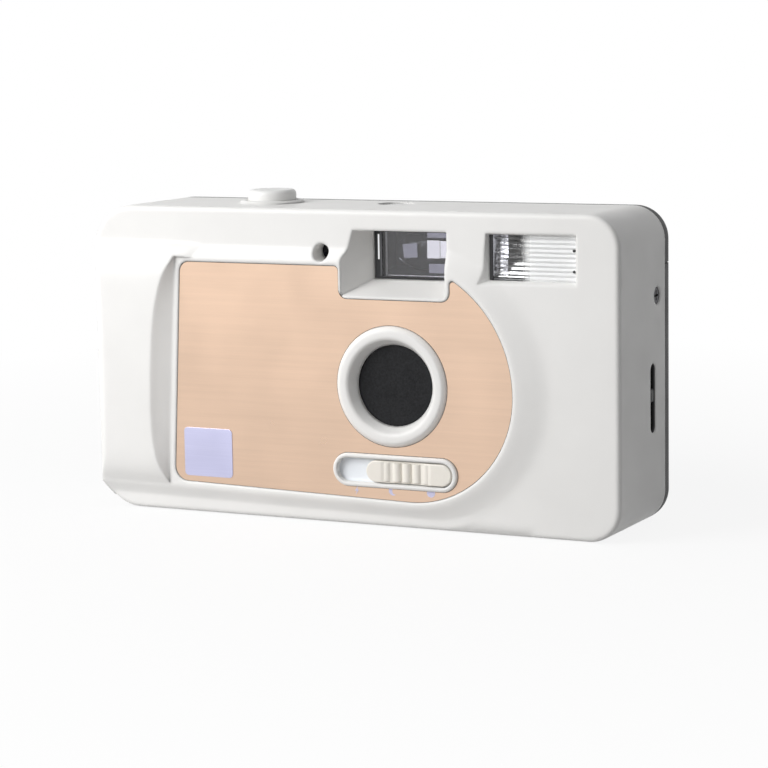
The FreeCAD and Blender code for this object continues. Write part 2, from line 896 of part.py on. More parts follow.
def cover_pivot_boss():
    return barrel(cover_pivot_x, cover_pivot_z, cover_pivot_radius, inner_face - 0.3, cover_back + 0.15)


def front_cover():
    body = body_prism(0, front, seam)
    body = body.makeFillet(front_edge, edges_on_plane(body, front))
    body = fuse_all([body, front_relief()])
    body = body.cut(inner_space())
    body = body.cut(plate_solid(plate_clearance, front - island_rise - 1, pocket_floor))
    well = finder_well().common(body_prism(0.5, front, seam))
    rib = crank_radius + 0.8
    pocket_rib = block(cassette_x - rib - 1, cassette_x + rib + 1, crank_y - rib, crank_y + rib, 1,
                       crank_pocket + 1)
    ring = post(button_x, button_y, button_collar_radius, body_height - 1,
                body_height + button_collar_height)
    ring = ring.makeChamfer(button_collar_height / 2, [ring.Edges[0]])
    sensor_tube = barrel(sensor_x, sensor_z, sensor_radius + 0.8, front + wall - 0.4, sensor_back)
    body = fuse_all([body, collar(), slot_frame(), well, pocket_rib, ring, cover_pivot_boss(),
                     sensor_tube] + cover_posts())
    sensor = barrel(sensor_x, sensor_z, sensor_radius, front - 2, sensor_back)
    tools = [lens_throat(), switch_slit(), finder_funnel(), flash_funnel(), latch_slot(), sensor]
    return cut_all(body, tools + top_openings() + bottom_openings() + screw_holes())


def faceplate():
    plate = plate_solid(0, plate_front, pocket_floor)
    holes = [
        barrel(lens_x, lens_z, collar_radius + plate_clearance, plate_front - 1, pocket_floor + 1),
        stadium(slot_x, slot_z, slot_length + 2 * plate_clearance, slot_height + 2 * plate_clearance,
                plate_front - 1, pocket_floor + 1),
    ]
    return cut_all(plate, holes)


# Switch and lens cover

def slide_switch():
    length = switch_length
    height = slot_height - 2 * slot_rim - 2 * switch_side_gap
    x = slot_x + slot_length / 2 - slot_rim - switch_end_gap - length / 2
    top = front - collar_height + 0.15
    under = pocket_floor - switch_floor_gap
    knob = stadium(x, slot_z, length, height, top, under)
    knob = knob.makeFillet(0.3, edges_on_plane(knob, top))
    scoop_x = x - 0.6
    reach = (switch_rib_count * switch_rib_pitch) / 2
    radius = (reach ** 2 + scoop_depth ** 2) / (2 * scoop_depth)
    scoop = post(scoop_x, top + scoop_depth - radius, radius, slot_z - height, slot_z + height)
    knob = knob.cut(scoop)
    ribs = []
    for index in range(switch_rib_count):
        place = scoop_x + (index - (switch_rib_count - 1) / 2) * switch_rib_pitch
        rib = post(place, top + 0.1 + switch_rib_radius, switch_rib_radius,
                   slot_z - height / 2 + 0.35, slot_z + height / 2 - 0.35)
        ribs.append(rib.common(block(place - 2, place + 2, top, under, slot_z - 5, slot_z + 5)))
    stem = block(switch_pin_x - stem_width / 2, switch_pin_x + stem_width / 2, under - 0.3,
                 inner_face + 0.05, slot_z - stem_height / 2, slot_z + stem_height / 2)
    pin = barrel(switch_pin_x, slot_z, switch_pin_radius, inner_face,
                 cover_back + 0.2 + clip_thickness)
    return fuse_all([knob, stem, pin] + ribs)


def switch_clip():
    clip_front = cover_back + 0.2
    plate = stadium(switch_pin_x, slot_z, clip_length, clip_height, clip_front,
                    clip_front + clip_thickness)
    return plate.cut(barrel(switch_pin_x, slot_z, switch_pin_radius, cover_back, cover_back + 1))


def turned(shape, x, z, degrees):
    copy = shape.copy()
    copy.rotate(Vector(x, 0, z), Vector(0, -1, 0), degrees)
    return copy


def lens_cover():
    disc = barrel(lens_x, lens_z, cover_radius, cover_front, cover_back)
    hub = barrel(cover_pivot_x, cover_pivot_z, cover_hub_radius, cover_front, cover_back)
    neck = cover_radius * 0.55
    neck_z = lens_z - cover_radius * 0.75
    arm = front_plate([(cover_pivot_x - cover_hub_radius, cover_pivot_z),
                       (cover_pivot_x + cover_hub_radius, cover_pivot_z),
                       (lens_x + neck, neck_z), (lens_x - neck, neck_z)], cover_front, cover_back)
    lean = math.degrees(math.atan2(cover_pin_rise, switch_travel / 2))
    lobe = stadium(cover_pivot_x + 4.0, cover_pivot_z, cover_lobe_length, cover_lobe_width, cover_front,
                   cover_back)
    slot = stadium(cover_pivot_x + 4.6, cover_pivot_z, cover_slot_length, 2 * switch_pin_radius + 0.7,
                   cover_front - 1, cover_back + 1)
    lobe = turned(lobe, cover_pivot_x, cover_pivot_z, lean)
    slot = turned(slot, cover_pivot_x, cover_pivot_z, lean)
    bore = barrel(cover_pivot_x, cover_pivot_z, cover_pivot_radius + running, cover_front - 1,
                  cover_back + 1)
    return cut_all(fuse_all([disc, hub, arm, lobe]), [slot, bore])


# Viewfinder, flash and light sensor

def viewfinder_window():
    margin = finder_tunnel_wall
    return block(finder_left - margin, finder_right + margin, window_front, window_front + window_pane,
                 finder_bottom - margin, finder_top + margin)


def front_rectangle(x0, x1, z0, z1, y):
    return front_polygon([(x0, z0), (x1, z0), (x1, z1), (x0, z1)], y)


def finder_taper(grow, y0, y1):
    eyepiece_left = eyepiece_x - eyepiece_width / 2 + 0.4
    eyepiece_right = eyepiece_x + eyepiece_width / 2 - 0.4
    near = front_rectangle(finder_left - grow, finder_right + grow, finder_bottom - grow,
                           finder_top + grow, y0)
    far = front_rectangle(eyepiece_left - grow, eyepiece_right + grow, eyepiece_bottom + 0.1 - grow,
                          eyepiece_bottom + eyepiece_height - 0.3 + grow, y1)
    return ruled(near, far)


def viewfinder_tunnel():
    start = window_front + window_pane
    outer = finder_taper(finder_tunnel_wall, start, chassis_back)
    inner = finder_taper(0, start, chassis_back)
    return outer.cut(inner)


def eyepiece_opening(y0, y1, inset):
    x0 = eyepiece_x - eyepiece_width / 2 + inset
    x1 = eyepiece_x + eyepiece_width / 2 - inset
    z0 = eyepiece_bottom + inset
    z1 = eyepiece_bottom + eyepiece_height - inset
    outline = rounded_outline(x0, x1, z0, z1, [1.2, 1.2, 1.2, 1.2], y0)
    return Part.Face(outline).extrude(Vector(0, y1 - y0, 0))


def viewfinder_eyepiece():
    face = back - 0.4
    lens = eyepiece_opening(inner_back, face, 0)
    bulge = Part.makeSphere(eyepiece_curve, Vector(eyepiece_x, face - eyepiece_curve,
                                                   eyepiece_bottom + eyepiece_height / 2))
    return lens.common(bulge)


def flash_window():
    rise = flash_top - flash_bottom
    count = int(rise / flash_rib_pitch)
    step = rise / count
    crest = front + flash_recess
    valley = crest + flash_rib_depth
    points = [(flash_pad_back, flash_bottom)]
    for index in range(count):
        points.append((valley, flash_bottom + index * step))
        points.append((crest, flash_bottom + (index + 0.5) * step))
    points.append((valley, flash_top))
    points.append((flash_pad_back, flash_top))
    corners = [Vector(flash_left, y, z) for y, z in points]
    profile = Part.Face(Part.makePolygon(corners + corners[:1]))
    pad = profile.extrude(Vector(flash_right - flash_left, 0, 0))
    flange = block(flash_left - flash_flange, flash_right + flash_flange, flash_pad_back,
                   reflector_mouth, flash_bottom - flash_flange, flash_top + flash_flange)
    return pad.fuse(flange).removeSplitter()


def trough(grow, x0, x1):
    mouth = reflector_mouth
    low = flash_bottom + 0.4 - grow
    high = flash_top - 0.2 + grow
    foot = Vector(x0, mouth + 2.2, chassis_top + 0.7 - grow)
    deepest = Vector(x0, flash_axis_y() + 3.0 + grow, (foot.z + high) / 2)
    shoulder = Vector(x0, mouth + 1.4, high)
    edges = [
        straight(Vector(x0, mouth, low), foot),
        bend(foot, deepest, shoulder),
        straight(shoulder, Vector(x0, mouth, high)),
        straight(Vector(x0, mouth, high), Vector(x0, mouth, low)),
    ]
    return closed_face(edges).extrude(Vector(x1 - x0, 0, 0))


def flash_reflector():
    outer = trough(reflector_wall, flash_left - 0.2, flash_right + 0.2)
    shell = outer.cut(trough(0, flash_left + 0.2, flash_right - 0.2))
    return shell.cut(flash_axle(flash_left - 2, flash_right + 2, flash_tube_radius))


def flash_axis_y():
    return front + flash_tube_depth


def flash_axle(x0, x1, radius):
    return axle(flash_axis_y(), flash_top - 3.6, radius, x0, x1)


def flash_tube():
    x0 = flash_left - 0.2
    x1 = flash_right + 0.2
    cap = flash_tube_radius * 0.7
    glass = flash_axle(x0, x1, flash_tube_radius)
    return fuse_all([glass, flash_axle(x0 - 0.7, x0, cap), flash_axle(x1, x1 + 0.7, cap)])


def light_sensor():
    base = barrel(sensor_x, sensor_z, sensor_radius + 0.6, sensor_back, board_front)
    reach = sensor_radius - 0.25
    curve = (reach ** 2 + sensor_bulge ** 2) / (2 * sensor_bulge)
    dome = Part.makeSphere(curve, Vector(sensor_x, sensor_back - sensor_bulge + curve, sensor_z))
    eye = dome.common(barrel(sensor_x, sensor_z, reach + 0.2, sensor_back - 1, sensor_back + 0.1))
    return base.fuse(eye).removeSplitter()


def circuit_board():
    board = block(board_left, board_right, board_front, board_back, board_low, board_top)
    notch = block(board_left - 1, board_left + 7.0, board_front - 1, board_back + 1, board_low - 1,
                  board_low + 3.5)
    holes = [barrel(x, z, 0.8, board_front - 1, board_back + 1) for x, z in board_posts()]
    chip = block(board_left + 13.0, board_left + 21.0, board_back, board_back + 0.5, board_top - 10.0,
                 board_top - 4.0)
    coil = barrel(board_left + 10.0, board_low + 3.1, coil_radius, board_back, board_back + 2.0)
    return fuse_all([cut_all(board, [notch] + holes), chip, coil])


def flash_capacitor():
    can = post(left + capacitor_inset, front + capacitor_depth, capacitor_radius, floor_top,
               floor_top + capacitor_length)
    return can.makeFillet(0.6, [can.Edges[0], can.Edges[2]])


# Top pieces

def shutter_button():
    low = body_height - wall - 0.3 - button_flange
    top = body_height + button_height
    cap = post(button_x, button_y, button_radius, low, top)
    rim = [edge for edge in cap.Edges if all(v.Z > body_height for v in edge.Vertexes)]
    cap = cap.makeFillet(button_edge, rim[:1])
    flange = post(button_x, button_y, button_radius + button_flange_reach, low, low + button_flange)
    stem = post(button_x, button_y, button_stem_radius, low - 0.4, low + 0.5)
    curve = 60.0
    dish = Part.makeSphere(curve, Vector(button_x, button_y, top + curve - button_dish))
    return fuse_all([cap, flange, stem]).cut(dish)


def release_lever():
    y0 = lever_y - lever_width / 2
    y1 = lever_y + lever_width / 2
    low = lever_pivot_z - 1.45
    high = low + lever_thickness
    hub = barrel(lever_pivot_x, lever_pivot_z, 1.5, y0, y1)
    left_low = wheel_top + button_travel + 0.3
    left_arm = block(button_x - 1.5, lever_pivot_x, y0, y1, left_low, left_low + lever_thickness)
    pad = post(button_x, lever_y, 1.3, left_low, left_low + 1.1)
    tip_x = shutter_pivot_x - 3.36
    right_arm = block(lever_pivot_x, tip_x, y0, y1, low, high)
    finger_front = blade_front - 0.3
    cross = block(tip_x - 1.5, tip_x, finger_front, y1, low, high)
    finger = block(tip_x - 1.5, tip_x, finger_front, finger_front + 0.8, shutter_pivot_z + 2.7, high)
    bore = barrel(lever_pivot_x, lever_pivot_z, 0.7 + running, y0 - 1, y1 + 1)
    return fuse_all([hub, left_arm, pad, right_arm, cross, finger]).cut(bore)


def shutter_blade():
    back_face = blade_front + shutter_thickness
    hub = barrel(shutter_pivot_x, shutter_pivot_z, 1.8, blade_front - 0.2, back_face + 0.2)
    lobe = barrel(lens_x, lens_z, shutter_lobe_radius, blade_front, back_face)
    length = math.hypot(lens_x - shutter_pivot_x, lens_z - shutter_pivot_z)
    arm = block(shutter_pivot_x, shutter_pivot_x + length, blade_front, back_face,
                shutter_pivot_z - 1.6, shutter_pivot_z + 1.6)
    lean = math.degrees(math.atan2(lens_z - shutter_pivot_z, lens_x - shutter_pivot_x))
    arm = turned(arm, shutter_pivot_x, shutter_pivot_z, lean)
    tail = block(shutter_pivot_x - 0.9, shutter_pivot_x + 0.9, blade_front, back_face,
                 shutter_pivot_z, shutter_pivot_z + shutter_tail)
    tail = turned(tail, shutter_pivot_x, shutter_pivot_z, shutter_tail_lean)
    bore = barrel(shutter_pivot_x, shutter_pivot_z, 0.8 + running, blade_front - 1, back_face + 1)
    return fuse_all([hub, lobe, arm, tail]).cut(bore)


def counter_window():
    pane = post(counter_x, dial_y, counter_window_radius, body_height - wall, body_height - 0.2)
    flange = post(counter_x, dial_y, counter_window_radius + 0.8, body_height - wall - 0.3,
                  body_height - wall)
    return pane.fuse(flange).removeSplitter()


def toothed_disc(x, y, root, tip, teeth, base_share, tip_share, turn, z0, z1):
    points = []
    pitch = 2 * math.pi / teeth
    for index in range(teeth):
        middle = turn + index * pitch
        for radius, share in ((root, -base_share), (tip, -tip_share), (tip, tip_share),
                              (root, base_share)):
            angle = middle + share * pitch / 2
            points.append((x + radius * math.cos(angle), y + radius * math.sin(angle)))
    return plan_plate(points, z0, z1)


def counter_dial():
    disc = toothed_disc(dial_x, dial_y, dial_radius - 0.5, dial_radius, dial_teeth, 0.7, 0.3, 0, dial_low,
                        dial_top)
    return disc.cut(post(dial_x, dial_y, dial_pin_radius + running, dial_low - 1, dial_top + 1))


# Lens and shutter housing

def lens_feet():
    feet = []
    for degrees in (25, 110, -70):
        place = at_angle(Vector(lens_x, 0, lens_z), lens_flange_radius - 1.4, degrees)
        feet.append(barrel(place.x, place.z, 1.2, flange_back, tunnel_y))
    return feet


def lens_barrel():
    tube = barrel(lens_x, lens_z, lens_barrel_radius, barrel_front, flange_back)
    flange = barrel(lens_x, lens_z, lens_flange_radius, flange_front, flange_back)
    bores = [
        barrel(lens_x, lens_z, lens_barrel_radius - 0.8, barrel_front - 1, lens_seat),
        barrel(lens_x, lens_z, lens_front_radius, lens_seat - 1, lens_stop),
        barrel(lens_x, lens_z, aperture_radius, lens_stop - 1, flange_back),
        barrel(lens_x, lens_z, lens_rear_radius, rear_lens_seat, flange_back + 1),
    ]
    return cut_all(fuse_all([tube, flange] + lens_feet()), bores)


def lens_element(radius, y0, y1, front_sag, back_sag):
    optical = Vector(0, 1, 0)
    front_curve = (radius ** 2 + front_sag ** 2) / (2 * front_sag)
    back_curve = (radius ** 2 + back_sag ** 2) / (2 * back_sag)
    near = Part.makeSphere(front_curve, Vector(lens_x, y0 + front_curve, lens_z), optical)
    far = Part.makeSphere(back_curve, Vector(lens_x, y1 - back_curve, lens_z), optical)
    return barrel(lens_x, lens_z, radius, y0, y1).common(near).common(far)


def lens_retainer():
    ring = barrel(lens_x, lens_z, lens_barrel_radius - 0.8, barrel_front, lens_seat)
    mouth = Part.makeCone(lens_front_radius + 0.3, lens_front_radius - 0.6, lens_seat - barrel_front,
                          Vector(lens_x, barrel_front, lens_z), Vector(0, 1, 0))
    return ring.cut(mouth)


# Film body

def limited(shape):
    return shape.common(block(left, right, front, chassis_back, 0, body_height))


def cassette_space(grow, z0, z1, y_end):
    radius = cassette_bore + grow
    bowl = post(cassette_x, cassette_y, radius, z0, z1)
    mouth = block(cassette_x - radius, cassette_x + radius, cassette_y, y_end, z0, z1)
    return bowl.fuse(mouth)


def light_tunnel(grow, y0):
    near = tunnel_mouth / 2 + grow
    near_frame = front_rectangle(lens_x - near, lens_x + near, lens_z - near, lens_z + near, y0)
    far_frame = front_rectangle(gate_left - grow, gate_right + grow, gate_low - grow, gate_high + grow,
                                chassis_back + 0.8)
    return ruled(near_frame, far_frame)


def film_rails():
    frame_back = film_plane - rail_height
    x0 = gate_left - 1.0
    x1 = gate_right + 1.0
    rails = [block(x0, cassette_x - cassette_bore, chassis_back - back_plate, frame_back,
                   lens_z - rail_outer_reach - rail_outer_half,
                   lens_z + rail_outer_reach + rail_outer_half)]
    for sign in (-1, 1):
        inner = lens_z + sign * (gate_height / 2 + rail_inner_gap)
        outer = lens_z + sign * rail_outer_reach
        rails.append(block(x0, x1, frame_back, film_plane, inner - rail_inner_half,
                           inner + rail_inner_half))
        rails.append(block(x0, x1, frame_back, film_plane + 0.2, outer - rail_outer_half,
                           outer + rail_outer_half))
    return rails


def hinge_ears():
    ears = []
    for low in ear_places:
        high = low + ear_length
        ears.append(post(hinge_x, hinge_y, hinge_radius, low, high))
        ears.append(plan_plate([(hinge_x, hinge_y + hinge_radius),
                                (hinge_x + 0.6, hinge_y - hinge_radius),
                                (left + 3.8, chassis_back - 0.6), (left + 6.0, chassis_back - 0.6),
                                (left + 6.0, seam + 0.6)], low, high))
    return ears


def chassis_decks():
    cell = battery_radius + battery_gap + sleeve_wall
    return [
        block(left + 4.0, cassette_x + cassette_bore, front + 13.6, chassis_back, chassis_low, floor_top),
        block(left + 4.0, counter_x - 8.2, front + 6.2, chassis_back, roof_low, chassis_top),
        block(dial_x - 4.4, dial_x + 2.6, dial_y - 2.4, dial_y + 2.4, roof_low, chassis_top),
        post(battery_x, battery_y, cell, chassis_low, roof_low + 0.1),
    ]


def chassis_posts():
    places = screw_places()
    x, y, z = places["side"]
    posts = [
        post(dial_x, dial_y, 1.2, roof_low, dial_low - 0.1),
        post(dial_x, dial_y, dial_pin_radius, roof_low, dial_top + 0.1),
        post(idler_x, idler_y, 1.2, roof_low, gear_low + gear_thickness + 0.2),
        block(lever_pivot_x - 1.2, lever_pivot_x + 1.2, front + 11.2, front + 12.5, roof_low,
              lever_pivot_z + 1.2),
        barrel(lever_pivot_x, lever_pivot_z, 0.7, front + 12.4, lever_y + lever_width / 2 + 0.2),
        barrel(shutter_pivot_x, shutter_pivot_z, 0.8, blade_front - 0.4, tunnel_y + 0.5),
        axle(y, z, side_post_radius, cassette_x + cassette_bore, right - wall),
        post(battery_x + 3.3, front + 20.5, 1.6, wall, chassis_low + 0.2),
        post(cassette_x - crank_radius - 0.3, crank_y - 7.5, 1.4, crank_pocket + 1, chassis_low + 0.2),
    ]
    for x, y in places["bottom"]:
        posts.append(post(x, y, screw_post_radius, wall, chassis_low + 0.2))
    for z in latch_pin_places:
        posts.append(axle(latch_pin_y, z, latch_pin_radius, cassette_x + cassette_bore, latch_right))
    return posts


def film_chassis():
    plate = block(left + 3.8, cassette_x + cassette_bore + chamber_wall, chassis_back - back_plate,
                  chassis_back, chassis_low, chassis_top)
    shells = [
        limited(cassette_space(chamber_wall, chassis_low, chassis_top, chassis_back)),
        limited(post(spool_x, spool_y, spool_chamber + chamber_wall, chassis_low, chassis_top)),
        limited(post(sprocket_x, sprocket_y, sprocket_radius + sprocket_room + chamber_wall,
                     chassis_low, chassis_top)),
        limited(light_tunnel(tunnel_wall, tunnel_y)),
        block(shutter_pivot_x - 3.2, lens_x + 10.4, tunnel_y, tunnel_y + 1.0, lens_z - 10, lens_z + 13),
    ]
    body = fuse_all([plate] + shells + film_rails() + hinge_ears() + chassis_decks() + chassis_posts())
    front_lip = block(cassette_x - 12, cassette_x + 12, front, front + 5.0, roof_low - 2.2,
                      chassis_top + 1)
    tools = [
        cassette_space(0, floor_top, roof_low, seam + 5).cut(front_lip),
        front_lip,
        post(spool_x, spool_y, spool_chamber, floor_top, roof_low),
        post(sprocket_x, sprocket_y, sprocket_radius + sprocket_room, floor_top, roof_low),
        light_tunnel(0, tunnel_y + 1.0),
        barrel(lens_x, lens_z, lens_rear_radius - 0.2, tunnel_y - 1, tunnel_y + 2),
        block(gate_left, gate_right, chassis_back - 1, film_plane, gate_low, gate_high),
        post(spool_x, spool_y, shaft_radius + running, 0, body_height),
        post(sprocket_x, sprocket_y, shaft_radius + running, 0, body_height),
        post(cassette_x, crank_y, crank_shaft + running, 0, floor_top + 1),
        post(battery_x, battery_y, battery_radius + battery_gap, 0, sleeve_top),
    ]
    for low in ear_places:
        tools.append(post(hinge_x, hinge_y, hinge_pin_radius, low - 1, low + ear_length + 1))
    x, y, z = screw_places()["side"]
    tools.append(axle(y, z, screw_shank_radius, right - 6, right))
    for x, y in screw_places()["bottom"]:
        tools.append(post(x, y, screw_shank_radius, 0, floor_top))
    return cut_all(body, tools)


# Film transport

def gear(x, y, teeth, turn, bore):
    pitch_radius = gear_module * teeth / 2
    wheel = toothed_disc(x, y, pitch_radius - 1.1 * gear_module, pitch_radius + 0.8 * gear_module, teeth,
                         0.62, 0.2, turn, gear_low, gear_low + gear_thickness)
    return wheel.cut(post(x, y, bore, gear_low - 1, gear_low + gear_thickness + 1))


def mesh_turns():
    to_idler = train_angle - idler_angle
    spool_turn = to_idler
    idler_pitch = 2 * math.pi / idler_teeth
    idler_turn = to_idler + math.pi + idler_pitch / 2
    back_angle = math.atan2(sprocket_y - idler_y, sprocket_x - idler_x)
    tooth_share = ((back_angle - idler_turn) / idler_pitch) % 1
    sprocket_pitch = 2 * math.pi / gear_teeth
    sprocket_turn = back_angle + math.pi + (tooth_share + 0.5) * sprocket_pitch
    return spool_turn, idler_turn, sprocket_turn


def advance_wheel():
    wheel = post(spool_x, spool_y, wheel_radius, wheel_low, wheel_top)
    wheel = wheel.makeChamfer(0.3, [wheel.Edges[0], wheel.Edges[2]])
    dish = post(spool_x, spool_y, wheel_radius - wheel_rim, wheel_top - wheel_dish, wheel_top + 1)
    hub = post(spool_x, spool_y, 4.0, wheel_top - 1, wheel_top)
    reach = wheel_radius + 0.25
    notches = []
    for index in range(wheel_notches):
        angle = 2 * math.pi * index / wheel_notches
        notches.append(post(spool_x + reach * math.cos(angle), spool_y + reach * math.sin(angle),
                            wheel_notch_radius, wheel_low - 1, wheel_top + 1))
    wheel = wheel.cut(dish).fuse(hub)
    return cut_all(wheel, notches + [post(spool_x, spool_y, shaft_radius, 0, body_height)])


def take_up_spool():
    core = post(spool_x, spool_y, spool_radius, floor_top + 0.8, roof_low - 1.8)
    shaft = post(spool_x, spool_y, shaft_radius, chassis_low, wheel_top)
    half = spool_slot_width / 2
    slots = []
    for index in range(3):
        slot = block(spool_x + 2.6, spool_x + 8, spool_y - half, spool_y + half,
                     lens_z - spool_slot_height / 2, lens_z + spool_slot_height / 2)
        slot.rotate(Vector(spool_x, spool_y, 0), Vector(0, 0, 1), 120 * index + 30)
        slots.append(slot)
    flanges = [post(spool_x, spool_y, spool_chamber - 0.9, z, z + spool_flange)
               for z in (floor_top + 0.5, roof_low - 2.4)]
    return fuse_all([cut_all(core, slots), shaft] + flanges)


def sprocket_wheel():
    low = floor_top + 0.6
    high = roof_low - 1.6
    waist = sprocket_radius - 1.5
    parts = [
        post(sprocket_x, sprocket_y, waist, low, high),
        post(sprocket_x, sprocket_y, shaft_radius, chassis_low, dial_top),
    ]
    for sign in (-1, 1):
        row = lens_z + sign * perforation_offset
        parts.append(post(sprocket_x, sprocket_y, sprocket_radius, row - 2.4, row + 2.4))
        ring = toothed_disc(sprocket_x, sprocket_y, sprocket_radius - 0.3,
                            sprocket_radius + sprocket_tooth, sprocket_teeth, 0.34, 0.16,
                            math.pi / 2, row - 0.8, row + 0.8)
        parts.append(ring)
    return fuse_all(parts)


def counter_finger():
    away = math.atan2(sprocket_y - dial_y, sprocket_x - dial_x)
    hub = post(sprocket_x, sprocket_y, 2.4, dial_low, dial_top)
    reach = math.hypot(sprocket_x - dial_x, sprocket_y - dial_y) - dial_radius - 0.4
    finger = block(sprocket_x, sprocket_x + reach, sprocket_y - 0.6, sprocket_y + 0.6, dial_low, dial_top)
    finger.rotate(Vector(sprocket_x, sprocket_y, 0), Vector(0, 0, 1), math.degrees(away))
    bore = post(sprocket_x, sprocket_y, shaft_radius, dial_low - 1, dial_top + 1)
    return hub.fuse(finger).removeSplitter().cut(bore)


# Rewind

def rewind_crank():
    disc = post(cassette_x, crank_y, crank_radius, crank_low, crank_top)
    gap = handle_width / 2 + handle_gap
    bed = block(cassette_x - crank_radius - 1, cassette_x + crank_radius + 1, crank_y - gap,
                crank_y + gap, crank_low - 1, crank_low + handle_thickness + 0.3)
    pin = barrel(crank_pin_x, crank_low + handle_thickness / 2, crank_pin_radius, crank_y - gap - 0.4,
                 crank_y + gap + 0.4)
    return disc.cut(bed).fuse(pin).removeSplitter()


def crank_handle():
    middle = crank_low + handle_thickness / 2
    high = crank_low + handle_thickness
    half = handle_width / 2
    end_x = crank_pin_x - handle_length + half
    root = barrel(crank_pin_x, middle, handle_thickness / 2, crank_y - half, crank_y + half)
    bar = block(end_x, crank_pin_x, crank_y - half, crank_y + half, crank_low, high)
    end = post(end_x, crank_y, half, crank_low, high)
    bore = barrel(crank_pin_x, middle, crank_pin_radius + running, crank_y - 5, crank_y + 5)
    nail = post(end_x + 0.4, crank_y, 1.1, crank_low - 0.5, crank_low + 0.6)
    return fuse_all([root, bar, end]).cut(bore).cut(nail)


def rewind_fork():
    disc_low = floor_top + 0.1
    disc_top = disc_low + fork_disc_thickness
    shaft = post(cassette_x, crank_y, crank_shaft, crank_top, disc_top)
    disc = post(cassette_x, crank_y, fork_disc_radius, disc_low, disc_top)
    prongs = []
    for side in (-1, 1):
        middle = cassette_x + side * prong_reach
        prongs.append(block(middle - 0.7, middle + 0.7, crank_y - 1.1, crank_y + 1.1, disc_top - 0.2,
                            disc_top + prong_height))
    return fuse_all([shaft, disc] + prongs)


def rewind_button():
    top = chassis_low - rewind_button_travel - 0.3
    pad = post(sprocket_x, sprocket_y, rewind_button_radius, rewind_button_low, top)
    flange = post(sprocket_x, sprocket_y, rewind_button_radius + rewind_button_flange, wall + 0.1, top)
    return pad.fuse(flange).removeSplitter()


# Back of the camera

def rear_prism(inset, y0):
    solid = body_prism(inset, y0, back - inset)
    return solid.makeFillet(rear_edge - inset, edges_on_plane(solid, back - inset))


def door_knuckle():
    first, second = ear_places
    middle = post(hinge_x, hinge_y, hinge_radius, first + ear_length + hinge_gap, second - hinge_gap)
    upper = post(hinge_x, hinge_y, hinge_radius, second + ear_length + hinge_gap, door_top - 0.3)
    return middle.fuse(upper)


def latch_lugs():
    return [block(latch_left, right - rear_wall + 0.2, seam + 0.4, seam + 1.6, z + 1.8, z + 3.8)
            for z in latch_hook_places]


def pressure_pins():
    return [barrel(lens_x + side * pressure_pin_reach, lens_z, pressure_pin_radius, inner_back - 1.5,
                   inner_back + 0.2) for side in (-1, 1)]


def thumb_ribs():
    crest = back + thumb_rib_height
    ribs = []
    for index in range(thumb_rib_count):
        x = left + 9 + thumb_rib_pitch * index
        rib = block(x - 0.5, x + 0.5, back - 0.2, crest, lens_z - 14.7, lens_z + 11.3)
        ribs.append(rib.makeFillet(0.3, edges_on_plane(rib, crest)))
    return ribs


def back_door():
    top = door_top - seam_gap
    bay_x = hinge_x + rear_wall
    outside = rear_prism(0, seam).common(block(hinge_x, right + 1, seam + seam_gap, back + 1, -1, top))
    hollow = rear_prism(rear_wall, seam - 1).common(block(bay_x, right, seam - 1, back, 0,
                                                          top - rear_wall))
    shell = outside.cut(hollow)
    body = fuse_all([shell, door_knuckle()] + latch_lugs() + pressure_pins() + thumb_ribs())
    tools = []
    for low in ear_places:
        tools.append(block(left - 1, hinge_x + 2.6, seam - 1, inner_back - 0.2, low - hinge_gap,
                           low + ear_length + hinge_gap))
    tools.append(post(hinge_x, hinge_y, hinge_pin_radius + running, 0, door_top))
    return cut_all(body, tools)


def hinge_pin():
    return post(hinge_x, hinge_y, hinge_pin_radius, ear_places[0], ear_places[1] + ear_length)


def pressure_plate():
    y0 = film_plane + pressure_gap
    plate = block(lens_x - pressure_width / 2, lens_x + pressure_width / 2, y0, y0 + pressure_thickness,
                  lens_z - pressure_height / 2, lens_z + pressure_height / 2)
    upright = [edge for edge in plate.Edges if abs(edge.Vertexes[0].Y - edge.Vertexes[1].Y) > 0.1]
    plate = plate.makeFillet(pressure_corner, upright)
    hole = pressure_pin_radius + pressure_pin_gap
    holes = [barrel(lens_x + side * pressure_pin_reach, lens_z, hole, y0 - 1, y0 + 2) for side in (-1, 1)]
    return cut_all(plate, holes)


def pressure_spring():
    near = film_plane + pressure_gap + pressure_thickness
    rise = inner_back - near - spring_thickness - pressure_travel - 0.05
    low = lens_z - spring_width / 2

    def bow(y):
        tips = [Vector(lens_x + side * spring_half_length, y + rise, low) for side in (-1, 1)]
        return [tips[0], Vector(lens_x, y, low), tips[1]]

    face = bow(near)
    reverse = bow(near + spring_thickness)
    strip = closed_face([
        bend(face[0], face[1], face[2]),
        straight(face[2], reverse[2]),
        bend(reverse[2], reverse[1], reverse[0]),
        straight(reverse[0], face[0]),
    ])
    return strip.extrude(Vector(0, 0, spring_width))


def door_latch():
    y0 = latch_y - 0.6
    y1 = y0 + latch_width
    nub_face = right - nub_inset
    bar = block(latch_left, latch_right, y0, y1, latch_low, latch_high)
    nub = block(latch_right - 0.2, nub_face, latch_y + 0.4, front + latch_slot_back - 0.4, nub_low,
                nub_low + nub_height)
    outer = [edge for edge in nub.Edges if min(v.X for v in edge.Vertexes) > nub_face - 0.1]
    nub = nub.makeFillet(nub_edge, outer)
    hooks = []
    for z in latch_hook_places:
        hooks.append(block(latch_left, latch_right, y1 - 0.2, seam + 1.8, z - 1.5, z + 0.6))
        hooks.append(block(latch_left, latch_right, seam + 0.6, seam + 1.8, z + 0.4, z + 1.5))
    room = latch_pin_radius + latch_pin_gap
    slots = [block(latch_left - 1, latch_right + 1, latch_pin_y - room, latch_pin_y + room, z - room,
                   z + latch_travel + room) for z in latch_pin_places]
    return cut_all(fuse_all([bar, nub] + hooks), slots)


